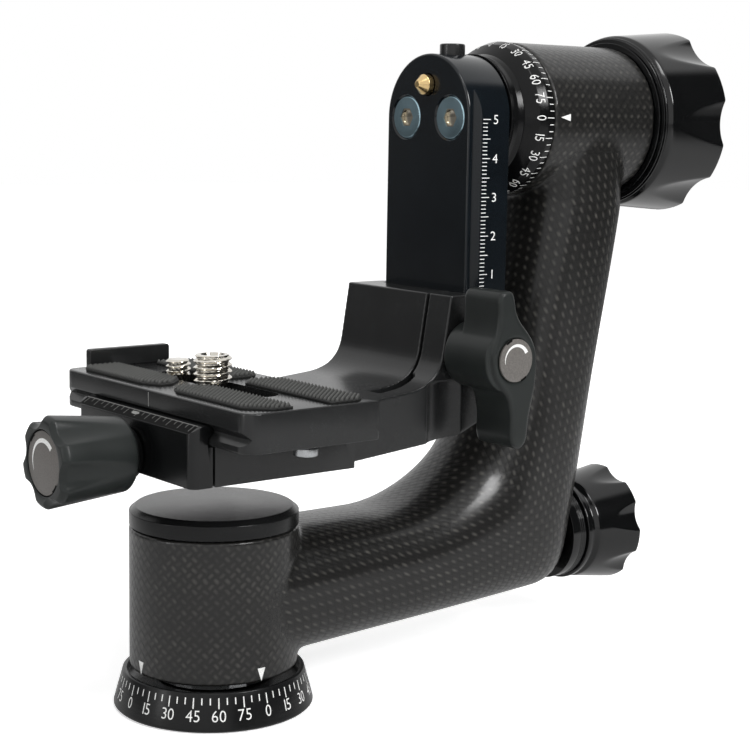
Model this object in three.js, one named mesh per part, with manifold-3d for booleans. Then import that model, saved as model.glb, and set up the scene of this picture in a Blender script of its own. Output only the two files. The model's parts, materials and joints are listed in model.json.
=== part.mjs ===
// A one-armed gimbal head for a tripod, in millimetres.
// The origin is the centre of the base's underside, on the pan axis. +Z is up. The tilt axis runs along X,
// from the pan axis towards the tilt knob. The scale of the rail and the height lever are on the -Y side.
import * as THREE from "three";
import { mergeVertices } from "three/addons/utils/BufferGeometryUtils.js";
import Module from "manifold-3d";

const wasm = await Module();
wasm.setup();

// Clearances and cutting
const gap = 0.3;
const overrun = 2;
const weld = 0.001;

// Axes
const tiltHeight = 145.4;
const pushHeight = 28;

// Base ring
const ringFootRadius = 24.3;
const ringRadius = 24.9;
const ringFootChamfer = 0.63;
const ringHeight = 9.18;
const ringTopRadius = 22.55;
const ringRimRadius = 21.5;
const ringFloor = 7;
const bushRadius = 6.4;
const bushBoreRadius = 4.2;
const bushRecess = 0.4;
const bushTop = 13.5;

// Spindle that stands in the base
const spindleFlangeRadius = 14.5;
const spindleFlangeThickness = 2.7;
const spindleRadius = 8;
const spindleShoulder = 38.4;
const spindleThreadRadius = 6;
const spindleTop = 43.8;
const spindleNutRadius = 11;
const spindleNutThickness = 4;

// Screws under the base
const baseScrewCount = 3;
const baseScrewCircle = 11;
const baseScrewHeadRadius = 3.3;
const baseScrewShankRadius = 1.5;
const baseScrewRecess = 0.6;
const baseScrewHeadHeight = 3.2;
const baseScrewTip = 9.3;
const baseScrewSocketFlats = 1.5;

// Base cylinder of the arm
const cylinderRadius = 20.9;
const cylinderBottom = 10.1;
const cylinderTop = 45.35;
const carbonWall = 2;
const linerWall = 2.8;
const capTop = 50.26;
const capEdge = 49.1;
const capTopRadius = 19.4;
const capSpigot = 1;
const bearingHeight = 6;
const bearingRaceShare = 0.33;
const bearingGrooveDepth = 0.6;
const upperBearingBottom = 32;

// Tube of the arm, drawn by its inner and its outer edge in the XZ plane
const tubeTop = 43.3;
const tubeBottomAtAxis = 10.5;
const tubeBottomAtCorner = 14.8;
const bendRadius = 41.6;
const bendStart = 46.8;
const uprightLean = 9.6;
const cornerX = 110.6;
const cornerReach = 9.5;
const outerUprightX = 128;
const outerUprightZ = 121;
const innerUprightZ = 124;
const bendEndHeight = 64;
const tubeHalfWidthAtBase = 20;
const tubeHalfWidthAtBend = 18.6;
const tubeHalfWidthAtUpright = 18.2;
const tubeHalfWidthAtTop = 19.8;
const tubeRoundness = 2.5;
const tubeWall = 2.6;
const tubeInnerStart = 16;

// Housing of the tilt bearing
const housingRadius = 20.5;
const housingFront = 93.1;
const housingRear = 131;
const tiltLinerWall = 3.9;

// Pan lock
const shoeRadius = 4;
const shoeRear = 20;
const pushRodRadius = 3;
const pushRodGuide = 5;
const pushRodGuideStart = 100.5;
const pushRodEnd = 106;
const sleeveStart = 99;
const sleeveTubeRadius = 9;
const sleeveCollarRadius = 13.6;
const sleeveCollarStart = 112;
const sleeveEnd = 117.2;
const panKnobFlangeRadius = 14.4;
const panKnobFlange = 1.7;
const panKnobNeckRadius = 13.4;
const panKnobNeck = 2.4;
const panKnobStartRadius = 14.5;
const panKnobEndRadius = 16.8;
const panKnobLength = 19.3;
const panKnobChamfer = 0.9;
const panKnobFaceRadius = 11;
const panKnobFaceDepth = 0.8;
const panStudInKnob = 12;
const panFluteRadius = 8;
const panFluteDistance = 23.1;
const panFluteStart = 15;
const fluteCount = 7;

// Tilt shaft, dial and lock
const neckRadius = 17;
const neckFrontRadius = 16.2;
const neckEnd = 84.7;
const hubRadius = 13.2;
const tiltShaftRadius = 8;
const tiltShaftShoulder = 131.6;
const tiltShaftThread = 6;
const tiltShaftEnd = 148;
const dialStart = 85;
const dialStartRadius = 16.4;
const dialNumberX = 87.9;
const dialNumberRadius = 19.7;
const dialTickX = 90.4;
const dialTickRadius = 20.6;
const dialEnd = 92.8;
const dialBackRadius = 20.3;
const frontBearingStart = 95.4;
const rearBearingStart = 119.4;
const endRingStart = 131.3;
const endRingInnerRadius = 21.6;
const endRingStep = 132.3;
const endRingRadius = 23.4;
const endRingEnd = 133.3;
const tiltKnobStartRadius = 24;
const tiltKnobEndRadius = 25.7;
const tiltKnobLength = 22.8;
const tiltKnobChamfer = 1.2;
const tiltKnobFaceRadius = 17.5;
const tiltKnobFaceDepth = 1.2;
const tiltFluteRadius = 13;
const tiltFluteDistance = 36.2;
const insertRadius = 9.5;
const insertLength = 14;

// Rail
const railFront = 66.06;
const railBack = 80.3;
const railHalfWidth = 16.55;
const railBottom = 72;
const railLip = 1;
const grooveDepth = 1.75;
const railEdge = 0.5;
const railScrewOffset = 8.8;
const railScrewHeadRadius = 5.65;
const railScrewShankRadius = 3;
const railScrewHeadHeight = 2.9;
const railScrewSocketFlats = 2;
const railScrewSocketDepth = 1.8;
const railScrewLength = 20;

// Safety pin and its button
const pinRise = 8.5;
const pinHeight = tiltHeight + pinRise;
const pinTip = 62.3;
const pinTipRadius = 0.9;
const pinConeRadius = 2.05;
const pinConeStart = 63.2;
const pinCollarStart = 64.6;
const pinRadius = 2.65;
const pinEnd = 70;
const pinTravel = 3.9;
const buttonX = 74.2;
const buttonRadius = 3.35;
const buttonStand = 2.75;
const buttonLength = 5.3;
const buttonTop = tiltHeight + railHalfWidth + buttonStand;
const buttonBottom = buttonTop - buttonLength;
const buttonTravel = 2.6;
const buttonEdge = 0.4;

// Bracket
const bracketHalfWidth = 21.5;
const bracketStart = 23.4;
const platformTop = 75.4;
const platformUnderStart = 60.9;
const platformUnderMiddleX = 60;
const platformUnderMiddle = 64.1;
const platformUnderEnd = 67.6;
const platformRiseX = 68.4;
const filletStartX = 43.5;
const filletStartZ = 77.2;
const filletCornerX = 53.6;
const filletCornerZ = 78.1;
const filletEndX = 54.9;
const filletEndZ = 86;
const bracketFront = 57.3;
const bracketTop = 100.7;
const bracketBack = 70.5;
const jawCornerRadius = 3;
const slitY = -12.3;
const slitWidth = 1.1;
const slitFloor = 72.5;
const slitEndX = 38.5;
const reliefEndX = 52;
const reliefWidth = 4.5;
const reliefEndWidth = 2;
const reliefFloor = 73;
const scoopX = 55.5;
const scoopRadius = 10;
const scoopDepth = 1.8;
const scoopTop = 79;

// Height lever
const leverX = 62.5;
const leverZ = 86;
const leverStand = 4.5;
const leverInner = bracketHalfWidth + leverStand;
const leverThickness = 14;
const leverOuter = leverInner + leverThickness;
const leverReach = 20;
const leverEdge = 1.2;
const leverBossRadius = 8.4;
const leverBossStand = 1.1;
const leverBossInner = bracketHalfWidth + leverBossStand;
const leverDiscRadius = 5.4;
const leverDiscThickness = 0.9;
const leverDiscRecess = 0.4;
const leverBoltRadius = 2.5;
const leverBoltHeadRadius = 4.3;
const leverBoltHeadHeight = 4;
const leverBoltEnd = 1;
const leverWasherRadius = 7;
// Points of the lever's outline about its bolt, as shares of its reach.
const leverOutlineShares = [
  [-0.27, 0.76],
  [-0.22, 0.86],
  [-0.05, 0.87],
  [0.0, 0.74],
  [0.02, 0.6],
  [0.1, 0.47],
  [0.27, 0.3],
  [0.385, 0.1],
  [0.395, -0.15],
  [0.37, -0.4],
  [0.32, -0.58],
  [0.275, -0.8],
  [0.255, -1.04],
  [0.16, -1.15],
  [0.02, -1.11],
  [-0.02, -1.0],
  [-0.015, -0.7],
  [-0.08, -0.47],
  [-0.19, -0.35],
  [-0.31, -0.2],
  [-0.365, 0.02],
  [-0.35, 0.18],
  [-0.28, 0.36],
  [-0.26, 0.55],
];

// Quick-release plate
const plateHalfWidth = 18.65;
const plateHalfLength = 41.9;
const plateTop = 80.15;
const plateFlange = 4.35;
const plateNotch = 1.7;
const plateBottom = 70.8;
const plateCorner = 3;
const plateRearCorner = 0.8;
const slotHalfWidth = 4.2;
const slotHalfLength = 24;
const slotRecessHalfWidth = 7.6;
const slotRecessHalfLength = 27;
const slotRecessTop = 76.2;
const padThickness = 1.4;
const padInnerX = 5.1;
const padOuterX = 16;
const padInnerY = 3;
const padLugGap = 3.9;
const padShortGap = 5.9;
const padOuterY = plateHalfLength - padLugGap;
const padShortY = plateHalfLength - padShortGap;
const padCut = 5;
const padCornerCut = 2.5;
const lugStart = -12.5;
const lugEnd = 11.2;
const lugHeight = 4.7;
const lugThickness = 2.4;
const lugInset = 0.3;
const stopScrewInset = 3.9;
const stopScrewY = plateHalfLength - stopScrewInset;
const stopScrewRadius = 2.9;
const stopScrewBottom = 68.5;
const stopScrewShankRadius = 1.5;
const stopScrewTip = 76.5;

// Camera screws
const largeScrewY = 0.9;
const largeScrewTop = 86.9;
const largeScrewRadius = 4.76;
const largeScrewNeck = 3.9;
const largeScrewHead = 7;
const smallScrewY = 16.8;
const smallScrewTop = 84.3;
const smallScrewRadius = 3.18;
const smallScrewNeck = 3.1;
const smallScrewHead = 6.4;
const cameraScrewHeadBottom = 72.4;
const cameraScrewChamfer = 0.7;
const cameraWasher = 1;

// Clamp
const clampHalfLength = 26.5;
const clampBottom = 61;
const clampTop = 75.4;
const clampRear = 23.1;
const clampFront = -23.3;
const clampSplit = -17.3;
const clampCorner = 2.6;
const rulerBevel = 2.6;
const rulerDrop = 1.6;
const clampScrewZ = 65.5;
const clampMountScrewY = 9;
const mountScrewHeadRadius = 3.5;
const mountScrewShankRadius = 2;
const mountScrewHeadStart = 6;
const mountScrewHeadHeight = 4;
const mountScrewEnd = 34;
const mountScrewSocketFlats = 1.5;
const jawPinY = 18;
const jawPinRadius = 1.9;
const jawPinStart = -22;
const jawPinEnd = -3;
const clampStudRadius = 3;
const clampStudEnd = 4;
const clampStudInKnob = 14;
const washerRadius = 6;
const washerThickness = 2;
const clampKnobStartRadius = 9;
const clampKnobEndRadius = 11.1;
const clampKnobLength = 20.8;
const clampKnobChamfer = 1;
const clampKnobDiscRadius = 7.5;
const clampKnobDiscThickness = 0.9;
const clampKnobRecess = 1.2;
const clampFluteRadius = 6;
const clampFluteDistance = 15.3;
const clampFluteCount = 6;
const clampFluteStart = 10;

// Numbers of sides
const wideSides = 40;
const middleSides = 20;
const tubeSides = 24;
const smallSides = 14;

const turn = 2 * Math.PI;
const degree = turn / 360;

// Surfaces
function finish(color, roughness, metalness) {
  return new THREE.MeshStandardMaterial({ color, roughness, metalness });
}
const blackAnodised = finish(0x1c1d1f, 0.35, 0.85);
const glossBlack = finish(0x101113, 0.22, 0.85);
const charcoal = finish(0x343736, 0.55, 0.6);
const carbon = finish(0x3a3a38, 0.35, 0.2);
const steel = finish(0xa9adb0, 0.3, 1);
const zinc = finish(0x8696a0, 0.35, 1);
const brass = finish(0xc9a862, 0.3, 1);
const nickel = finish(0xc8c3b9, 0.25, 1);
const rubber = finish(0x333331, 0.9, 0);
const greyLabel = finish(0x6e6864, 0.5, 0.4);

// Solids
function solidOf(geometry) {
  const bare = geometry.clone();
  bare.deleteAttribute("normal");
  bare.deleteAttribute("uv");
  const merged = mergeVertices(bare, weld);
  const corners = merged.index.array;
  const kept = [];
  for (let i = 0; i < corners.length; i += 3) {
    const [a, b, c] = corners.slice(i, i + 3);
    if (a !== b && b !== c && c !== a) kept.push(a, b, c);
  }
  const vertProperties = merged.attributes.position.array;
  return new wasm.Manifold(new wasm.Mesh({ numProp: 3, vertProperties, triVerts: new Uint32Array(kept) }));
}

function geometryOf(solid) {
  const { vertProperties, triVerts } = solid.getMesh();
  const geometry = new THREE.BufferGeometry();
  geometry.setAttribute("position", new THREE.BufferAttribute(vertProperties, 3));
  geometry.setIndex(new THREE.BufferAttribute(triVerts, 1));
  geometry.computeVertexNormals();
  return geometry;
}

function join(first, ...others) {
  return geometryOf(others.reduce((whole, piece) => whole.add(solidOf(piece)), solidOf(first)));
}

function cut(first, ...tools) {
  return geometryOf(tools.reduce((whole, tool) => whole.subtract(solidOf(tool)), solidOf(first)));
}

function common(first, second) {
  return geometryOf(solidOf(first).intersect(solidOf(second)));
}

// A solid of revolution about Z. The profile holds [radius, height] pairs, anticlockwise, and it starts and
// ends on the axis, or is closed here when it is a ring.
function turned(profile, sides = middleSides) {
  const ring = profile[0][0] > 0 || profile[profile.length - 1][0] > 0;
  const points = (ring ? [...profile, profile[0]] : profile).map(([r, h]) => new THREE.Vector2(r, h));
  return new THREE.LatheGeometry(points, sides).rotateX(turn / 4);
}

function turnedAlongX(profile, sides) {
  return turned(profile, sides).rotateY(turn / 4);
}

// The height of the profile runs towards -Y.
function turnedAlongMinusY(profile, sides) {
  return turned(profile, sides).rotateX(turn / 4);
}

function rod(radius, start, end, sides = smallSides) {
  return turned([[0, start], [radius, start], [radius, end], [0, end]], sides);
}

function rodAlongX(radius, start, end, sides = smallSides) {
  return rod(radius, start, end, sides).rotateY(turn / 4);
}

function block(x, y, z) {
  const size = [x, y, z].map(([low, high]) => high - low);
  const middle = [x, y, z].map(([low, high]) => (low + high) / 2);
  return new THREE.BoxGeometry(...size).translate(...middle);
}

// An outline in XY, raised from z = 0, with its two edges chamfered.
function prism(outline, depth, edge = 0) {
  const corners = Array.isArray(outline) ? outline.map(([u, v]) => new THREE.Vector2(u, v)) : null;
  const points = corners ?? outline.getPoints(6);
  const bevel = { bevelEnabled: edge > 0, bevelThickness: edge, bevelSize: edge, bevelOffset: -edge };
  const options = { depth: depth - 2 * edge, bevelSegments: 1, ...bevel };
  return new THREE.ExtrudeGeometry(new THREE.Shape(points), options).translate(0, 0, edge);
}

// An outline in XZ, as wide as the two limits in Y.
function sidePrism(outline, [low, high], edge = 0) {
  return prism(outline, high - low, edge).rotateX(turn / 4).translate(0, high, 0);
}

function hexRod(flats, start, end) {
  return rod(flats / Math.cos(turn / 12), start, end, 6);
}

function roundedBox(halfX, halfY, radius, rightRadius = radius) {
  const shape = new THREE.Shape();
  shape.moveTo(-halfX + radius, -halfY);
  shape.absarc(halfX - rightRadius, -halfY + rightRadius, rightRadius, -turn / 4, 0);
  shape.absarc(halfX - rightRadius, halfY - rightRadius, rightRadius, 0, turn / 4);
  shape.absarc(-halfX + radius, halfY - radius, radius, turn / 4, turn / 2);
  shape.absarc(-halfX + radius, -halfY + radius, radius, turn / 2, 0.75 * turn);
  return shape;
}

function bearing(inner, outer, start) {
  const race = (outer - inner) * bearingRaceShare;
  const end = start + bearingHeight;
  const profile = [
    [inner, start],
    [inner + race, start],
    [inner + race, start + bearingGrooveDepth],
    [outer - race, start + bearingGrooveDepth],
    [outer - race, start],
    [outer, start],
    [outer, end],
    [outer - race, end],
    [outer - race, end - bearingGrooveDepth],
    [inner + race, end - bearingGrooveDepth],
    [inner + race, end],
    [inner, end],
  ];
  return turned(profile, smallSides);
}

// Cutters for the flutes of a knob that points along +X: frustums that reach deeper towards the free end.
function fluteCutters(count, firstAngle, distance, radius, startRadius, length) {
  const shallow = distance - startRadius - gap;
  const cutters = [];
  for (let i = 0; i < count; i++) {
    const cone = turnedAlongX([[0, 0], [shallow, 0], [radius, length], [radius, length + overrun],
      [0, length + overrun]], middleSides);
    const angle = firstAngle * degree + (i * turn) / count;
    cutters.push(cone.translate(0, -distance, 0).rotateX(-angle));
  }
  return cutters;
}

function named(name, geometry, material, position = [0, 0, 0]) {
  const mesh = new THREE.Mesh(geometry, material);
  mesh.name = name;
  mesh.position.set(...position);
  return mesh;
}

function grouped(...children) {
  const group = new THREE.Group();
  group.add(...children);
  return group;
}

// Base
const bushHole = bushRadius + gap;
const flangeBottom = ringFloor + gap;
const flangeTop = flangeBottom + spindleFlangeThickness;

function baseScrewPlaces() {
  const places = [];
  for (let i = 0; i < baseScrewCount; i++) {
    const angle = (i * turn) / baseScrewCount;
    places.push([baseScrewCircle * Math.cos(angle), baseScrewCircle * Math.sin(angle), 0]);
  }
  return places;
}

function baseRing() {
  const profile = [
    [bushHole, 0],
    [ringFootRadius, 0],
    [ringRadius, ringFootChamfer],
    [ringTopRadius, ringHeight],
    [ringRimRadius, ringHeight],
    [ringRimRadius, ringFloor],
    [bushHole, ringFloor],
  ];
  const holes = baseScrewPlaces().flatMap((place) => [
    rod(baseScrewHeadRadius + gap, -overrun, baseScrewRecess + baseScrewHeadHeight + gap).translate(...place),
    rod(baseScrewShankRadius + gap, 0, ringFloor + overrun).translate(...place),
  ]);
  return cut(turned(profile, wideSides), ...holes);
}

function tripodBush() {
  const profile = [
    [bushBoreRadius, bushRecess],
    [bushRadius, bushRecess],
    [bushRadius, bushTop],
    [bushBoreRadius, bushTop],
  ];
  return turned(profile);
}

function panSpindle() {
  const boreTop = bushTop + gap;
  const profile = [
    [0, boreTop],
    [bushHole, boreTop],
    [bushHole, flangeBottom],
    [spindleFlangeRadius, flangeBottom],
    [spindleFlangeRadius, flangeTop],
    [spindleRadius, flangeTop],
    [spindleRadius, spindleShoulder],
    [spindleThreadRadius, spindleShoulder],
    [spindleThreadRadius, spindleTop],
    [0, spindleTop],
  ];
  const holes = baseScrewPlaces().map((place) =>
    rod(baseScrewShankRadius + gap, 0, baseScrewTip + gap).translate(...place));
  return cut(turned(profile), ...holes);
}

function baseScrew() {
  const headTop = baseScrewRecess + baseScrewHeadHeight;
  const profile = [
    [0, baseScrewRecess],
    [baseScrewHeadRadius, baseScrewRecess],
    [baseScrewHeadRadius, headTop],
    [baseScrewShankRadius, headTop],
    [baseScrewShankRadius, baseScrewTip],
    [0, baseScrewTip],
  ];
  const body = turned(profile, smallSides);
  return cut(body, hexRod(baseScrewSocketFlats, 0, headTop - baseScrewShankRadius));
}

function spindleNut() {
  const start = spindleShoulder + gap;
  const bore = spindleThreadRadius + gap;
  const outer = rod(spindleNutRadius, start, start + spindleNutThickness, 6);
  return cut(outer, rod(bore, 0, spindleTop + overrun));
}

const tripodBase = grouped(
  named("base_ring", baseRing(), blackAnodised),
  named("tripod_bush", tripodBush(), steel),
  named("pan_spindle", panSpindle(), steel),
  named("spindle_nut", spindleNut(), steel),
  ...baseScrewPlaces().map((place, i) => named(`base_screw_${i + 1}`, baseScrew(), zinc, place)),
);

// Arm
const linerRadius = cylinderRadius - carbonWall - gap;
const linerBore = linerRadius - linerWall;
const tiltLinerRadius = housingRadius - carbonWall - gap;
const tiltLinerBore = tiltLinerRadius - tiltLinerWall;
const bendCentreZ = tubeTop + bendRadius;
const lean = uprightLean * degree;
const outerSlope = (outerUprightX - cornerX) / (outerUprightZ - tubeBottomAtCorner);
const innerBendEndX = bendStart + bendRadius * Math.cos(lean);
const innerBendEndZ = bendCentreZ - bendRadius * Math.sin(lean);
const innerUprightX = innerBendEndX + (innerUprightZ - innerBendEndZ) * Math.tan(lean);

function straight(x1, z1, x2, z2) {
  return new THREE.LineCurve(new THREE.Vector2(x1, z1), new THREE.Vector2(x2, z2));
}

// The four legs of each edge: lower tube, bend, upright and the short end inside the housing.
function innerLegs() {
  const bend = new THREE.Path();
  bend.absarc(bendStart, bendCentreZ, bendRadius, -turn / 4, -lean);
  const frontX = Math.max(innerUprightX, housingFront + gap);
  return [
    straight(0, tubeTop, bendStart, tubeTop),
    bend,
    straight(innerBendEndX, innerBendEndZ, frontX, innerUprightZ),
    straight(frontX, innerUprightZ, frontX, tiltHeight),
  ];
}

function outerLegs() {
  const rise = (tubeBottomAtCorner - tubeBottomAtAxis) / cornerX;
  const startZ = tubeBottomAtAxis + rise * bendStart;
  const bendEndX = cornerX + (bendEndHeight - tubeBottomAtCorner) * outerSlope;
  const beforeX = cornerX - cornerReach;
  const bend = new THREE.Path();
  bend.moveTo(bendStart, startZ);
  bend.lineTo(beforeX, tubeBottomAtAxis + rise * beforeX);
  bend.quadraticCurveTo(cornerX, tubeBottomAtCorner, cornerX + cornerReach * outerSlope,
    tubeBottomAtCorner + cornerReach);
  bend.lineTo(bendEndX, bendEndHeight);
  return [
    straight(0, tubeBottomAtAxis, bendStart, startZ),
    bend,
    straight(bendEndX, bendEndHeight, outerUprightX, outerUprightZ),
    straight(outerUprightX, outerUprightZ, outerUprightX, tiltHeight),
  ];
}

// Stations of the tube: where its two edges lie and how wide it is there.
function tubeStations(steps) {
  const widths = [tubeHalfWidthAtBase, tubeHalfWidthAtBend, tubeHalfWidthAtUpright, tubeHalfWidthAtTop,
    tubeHalfWidthAtTop];
  const inner = innerLegs();
  const outer = outerLegs();
  const stations = [];
  steps.forEach((count, leg) => {
    for (let i = leg === 0 ? 0 : 1; i <= count; i++) {
      const share = i / count;
      const blend = THREE.MathUtils.smoothstep(share, 0, 1);
      const halfWidth = THREE.MathUtils.lerp(widths[leg], widths[leg + 1], blend);
      stations.push({ inner: inner[leg].getPointAt(share), outer: outer[leg].getPointAt(share), halfWidth });
    }
  });
  return stations;
}

// A closed skin through the stations. Each section is a rounded rectangle between the two edges.
function tubeSkin(stations, wall, sides) {
  const positions = [];
  for (const { inner, outer, halfWidth } of stations) {
    const middle = inner.clone().add(outer).multiplyScalar(1 / 2);
    const reach = inner.clone().sub(outer).multiplyScalar(1 / 2);
    const shrink = 1 - wall / reach.length();
    for (let i = 0; i < sides; i++) {
      const angle = (i * turn) / sides;
      const [c, s] = [Math.cos(angle), Math.sin(angle)];
      const along = Math.sign(c) * Math.abs(c) ** (2 / tubeRoundness) * shrink;
      const across = Math.sign(s) * Math.abs(s) ** (2 / tubeRoundness) * (halfWidth - wall);
      positions.push(middle.x + reach.x * along, across, middle.y + reach.y * along);
    }
  }
  const index = [];
  const last = (stations.length - 1) * sides;
  for (let i = 0; i < sides; i++) {
    const next = (i + 1) % sides;
    for (let ring = 0; ring < last; ring += sides) {
      index.push(ring + i, ring + sides + next, ring + next, ring + i, ring + sides + i, ring + sides + next);
    }
    if (i > 0 && next > 0) {
      index.push(0, i, next);
      index.push(last, last + next, last + i);
    }
  }
  const geometry = new THREE.BufferGeometry();
  geometry.setAttribute("position", new THREE.Float32BufferAttribute(positions, 3));
  geometry.setIndex(index);
  return geometry;
}

function carbonArm() {
  const outside = tubeSkin(tubeStations([3, 12, 4, 2]), 0, tubeSides);
  const inside = tubeSkin(tubeStations([2, 7, 3, 2]), tubeWall, smallSides);
  const beyondCylinder = block([tubeInnerStart, outerUprightX], [-tubeHalfWidthAtBase, tubeHalfWidthAtBase],
    [0, tiltHeight + overrun]);
  const hollow = common(inside, beyondCylinder);
  const cylinder = rod(cylinderRadius, cylinderBottom, cylinderTop, wideSides);
  const housing = rodAlongX(housingRadius, housingFront, housingRear, wideSides).translate(0, 0, tiltHeight);
  const cylinderBore = rod(linerRadius + gap, 0, cylinderTop + overrun, wideSides);
  const [boreFront, boreRear] = [housingFront - overrun, housingRear + overrun];
  const housingBore = rodAlongX(tiltLinerRadius + gap, boreFront, boreRear, wideSides);
  const sleeveHole = turnedAlongX([[0, sleeveStart - gap], [sleeveTubeRadius + gap, sleeveStart - gap],
    [sleeveTubeRadius + gap, sleeveCollarStart - gap], [sleeveCollarRadius + gap, sleeveCollarStart - gap],
    [sleeveCollarRadius + gap, sleeveEnd + overrun], [0, sleeveEnd + overrun]]);
  return cut(join(outside, cylinder, housing), cylinderBore, housingBore.translate(0, 0, tiltHeight), hollow,
    sleeveHole.translate(0, 0, pushHeight));
}

function baseCap() {
  const spigotBottom = cylinderTop - capSpigot;
  const spigotRadius = linerBore - gap;
  const profile = [
    [0, spigotBottom],
    [spigotRadius, spigotBottom],
    [spigotRadius, cylinderTop + gap],
    [cylinderRadius, cylinderTop + gap],
    [cylinderRadius, capEdge],
    [capTopRadius, capTop],
    [0, capTop],
  ];
  return turned(profile, wideSides);
}

function panLiner() {
  const bottom = cylinderBottom + gap;
  const top = cylinderTop;
  const profile = [[linerBore, bottom], [linerRadius, bottom], [linerRadius, top], [linerBore, top]];
  const shoeHole = rodAlongX(shoeRadius + gap, 0, cylinderRadius).translate(0, 0, pushHeight);
  return cut(turned(profile, wideSides), shoeHole);
}

function panSleeve() {
  const bore = pushRodGuide + gap;
  const profile = [
    [bore, sleeveStart],
    [sleeveTubeRadius, sleeveStart],
    [sleeveTubeRadius, sleeveCollarStart],
    [sleeveCollarRadius, sleeveCollarStart],
    [sleeveCollarRadius, sleeveEnd],
    [bore, sleeveEnd],
  ];
  return turnedAlongX(profile).translate(0, 0, pushHeight);
}

function tiltLiner() {
  const start = housingFront + gap;
  const profile = [
    [tiltLinerBore, start],
    [tiltLinerRadius, start],
    [tiltLinerRadius, housingRear],
    [tiltLinerBore, housingRear],
  ];
  return turnedAlongX(profile, wideSides).translate(0, 0, tiltHeight);
}

function tiltBearing(start) {
  const upright = bearing(tiltShaftRadius + gap, tiltLinerBore - gap, start);
  return upright.rotateY(turn / 4).translate(0, 0, tiltHeight);
}

function brakeShoe() {
  const shoe = rodAlongX(shoeRadius, 0, shoeRear).translate(0, 0, pushHeight);
  return cut(shoe, rod(spindleRadius + gap, 0, capTop, middleSides));
}

function pushRod() {
  const profile = [
    [0, shoeRear + gap],
    [pushRodRadius, shoeRear + gap],
    [pushRodRadius, pushRodGuideStart],
    [pushRodGuide, pushRodGuideStart],
    [pushRodGuide, pushRodEnd],
    [0, pushRodEnd],
  ];
  return turnedAlongX(profile, smallSides).translate(0, 0, pushHeight);
}

// Knobs
const studStart = pushRodEnd + gap;
const panKnobStart = sleeveEnd + gap;
const studEnd = panKnobStart + panStudInKnob;
const tiltKnobStart = endRingEnd + gap;

function panKnob() {
  const bodyStart = panKnobFlange + panKnobNeck;
  const profile = [
    [0, panStudInKnob + gap],
    [pushRodGuide + gap, panStudInKnob + gap],
    [pushRodGuide + gap, 0],
    [panKnobFlangeRadius, 0],
    [panKnobFlangeRadius, panKnobFlange],
    [panKnobNeckRadius, panKnobFlange],
    [panKnobNeckRadius, bodyStart - panKnobChamfer],
    [panKnobStartRadius, bodyStart],
    [panKnobEndRadius, panKnobLength - panKnobChamfer],
    [panKnobEndRadius - panKnobChamfer, panKnobLength],
    [panKnobFaceRadius, panKnobLength],
    [panKnobFaceRadius, panKnobLength - panKnobFaceDepth],
    [0, panKnobLength - panKnobFaceDepth],
  ];
  return cut(turnedAlongX(profile), ...fluteCutters(fluteCount, panFluteStart, panFluteDistance, panFluteRadius,
    panKnobStartRadius, panKnobLength));
}

function tiltKnob() {
  const bore = tiltShaftThread + gap;
  const profile = [
    [0, tiltShaftEnd - tiltKnobStart + gap],
    [bore, tiltShaftEnd - tiltKnobStart + gap],
    [bore, insertLength + gap],
    [insertRadius + gap, insertLength + gap],
    [insertRadius + gap, 0],
    [tiltKnobStartRadius - tiltKnobChamfer, 0],
    [tiltKnobStartRadius, tiltKnobChamfer],
    [tiltKnobEndRadius, tiltKnobLength - tiltKnobChamfer],
    [tiltKnobEndRadius - tiltKnobChamfer, tiltKnobLength],
    [tiltKnobFaceRadius, tiltKnobLength],
    [tiltKnobFaceRadius, tiltKnobLength - tiltKnobFaceDepth],
    [0, tiltKnobLength - tiltKnobFaceDepth],
  ];
  const cutters = fluteCutters(fluteCount, 0, tiltFluteDistance, tiltFluteRadius, tiltKnobStartRadius,
    tiltKnobLength);
  return cut(turnedAlongX(profile, wideSides), ...cutters);
}

function knobInsert() {
  const bore = tiltShaftThread + gap;
  return turnedAlongX([[bore, 0], [insertRadius, 0], [insertRadius, insertLength], [bore, insertLength]]);
}

function tiltEndRing() {
  const bore = tiltShaftThread + gap;
  const profile = [
    [bore, tiltShaftShoulder + gap],
    [tiltShaftRadius + gap, tiltShaftShoulder + gap],
    [tiltShaftRadius + gap, endRingStart],
    [endRingInnerRadius, endRingStart],
    [endRingInnerRadius, endRingStep],
    [endRingRadius, endRingStep],
    [endRingRadius, endRingEnd],
    [bore, endRingEnd],
  ];
  return turnedAlongX(profile, wideSides).translate(0, 0, tiltHeight);
}

const panLock = grouped(
  named("pan_brake_shoe", brakeShoe(), brass),
  named("pan_push_rod", pushRod(), steel),
  grouped(
    named("pan_knob", panKnob(), glossBlack, [panKnobStart, 0, pushHeight]),
    named("pan_knob_stud", rodAlongX(pushRodGuide, studStart, studEnd), steel, [0, 0, pushHeight]),
  ),
);

const tiltLock = grouped(
  named("tilt_end_ring", tiltEndRing(), blackAnodised),
  grouped(
    named("tilt_knob", tiltKnob(), glossBlack, [tiltKnobStart, 0, tiltHeight]),
    named("tilt_knob_insert", knobInsert(), steel, [tiltKnobStart, 0, tiltHeight]),
  ),
);

// Cradle
const screwSides = [-railScrewOffset, railScrewOffset];

function tiltShaft() {
  const start = railBack + gap;
  const profile = [
    [0, start],
    [neckRadius, start],
    [neckFrontRadius, neckEnd],
    [hubRadius, neckEnd],
    [hubRadius, dialEnd],
    [tiltShaftRadius, dialEnd],
    [tiltShaftRadius, tiltShaftShoulder],
    [tiltShaftThread, tiltShaftShoulder],
    [tiltShaftThread, tiltShaftEnd],
    [0, tiltShaftEnd],
  ];
  const holes = screwSides.map((y) =>
    rodAlongX(railScrewShankRadius + gap, railBack, railFront + railScrewLength + gap).translate(0, y, 0));
  return cut(turnedAlongX(profile, wideSides), ...holes).translate(0, 0, tiltHeight);
}

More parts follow.
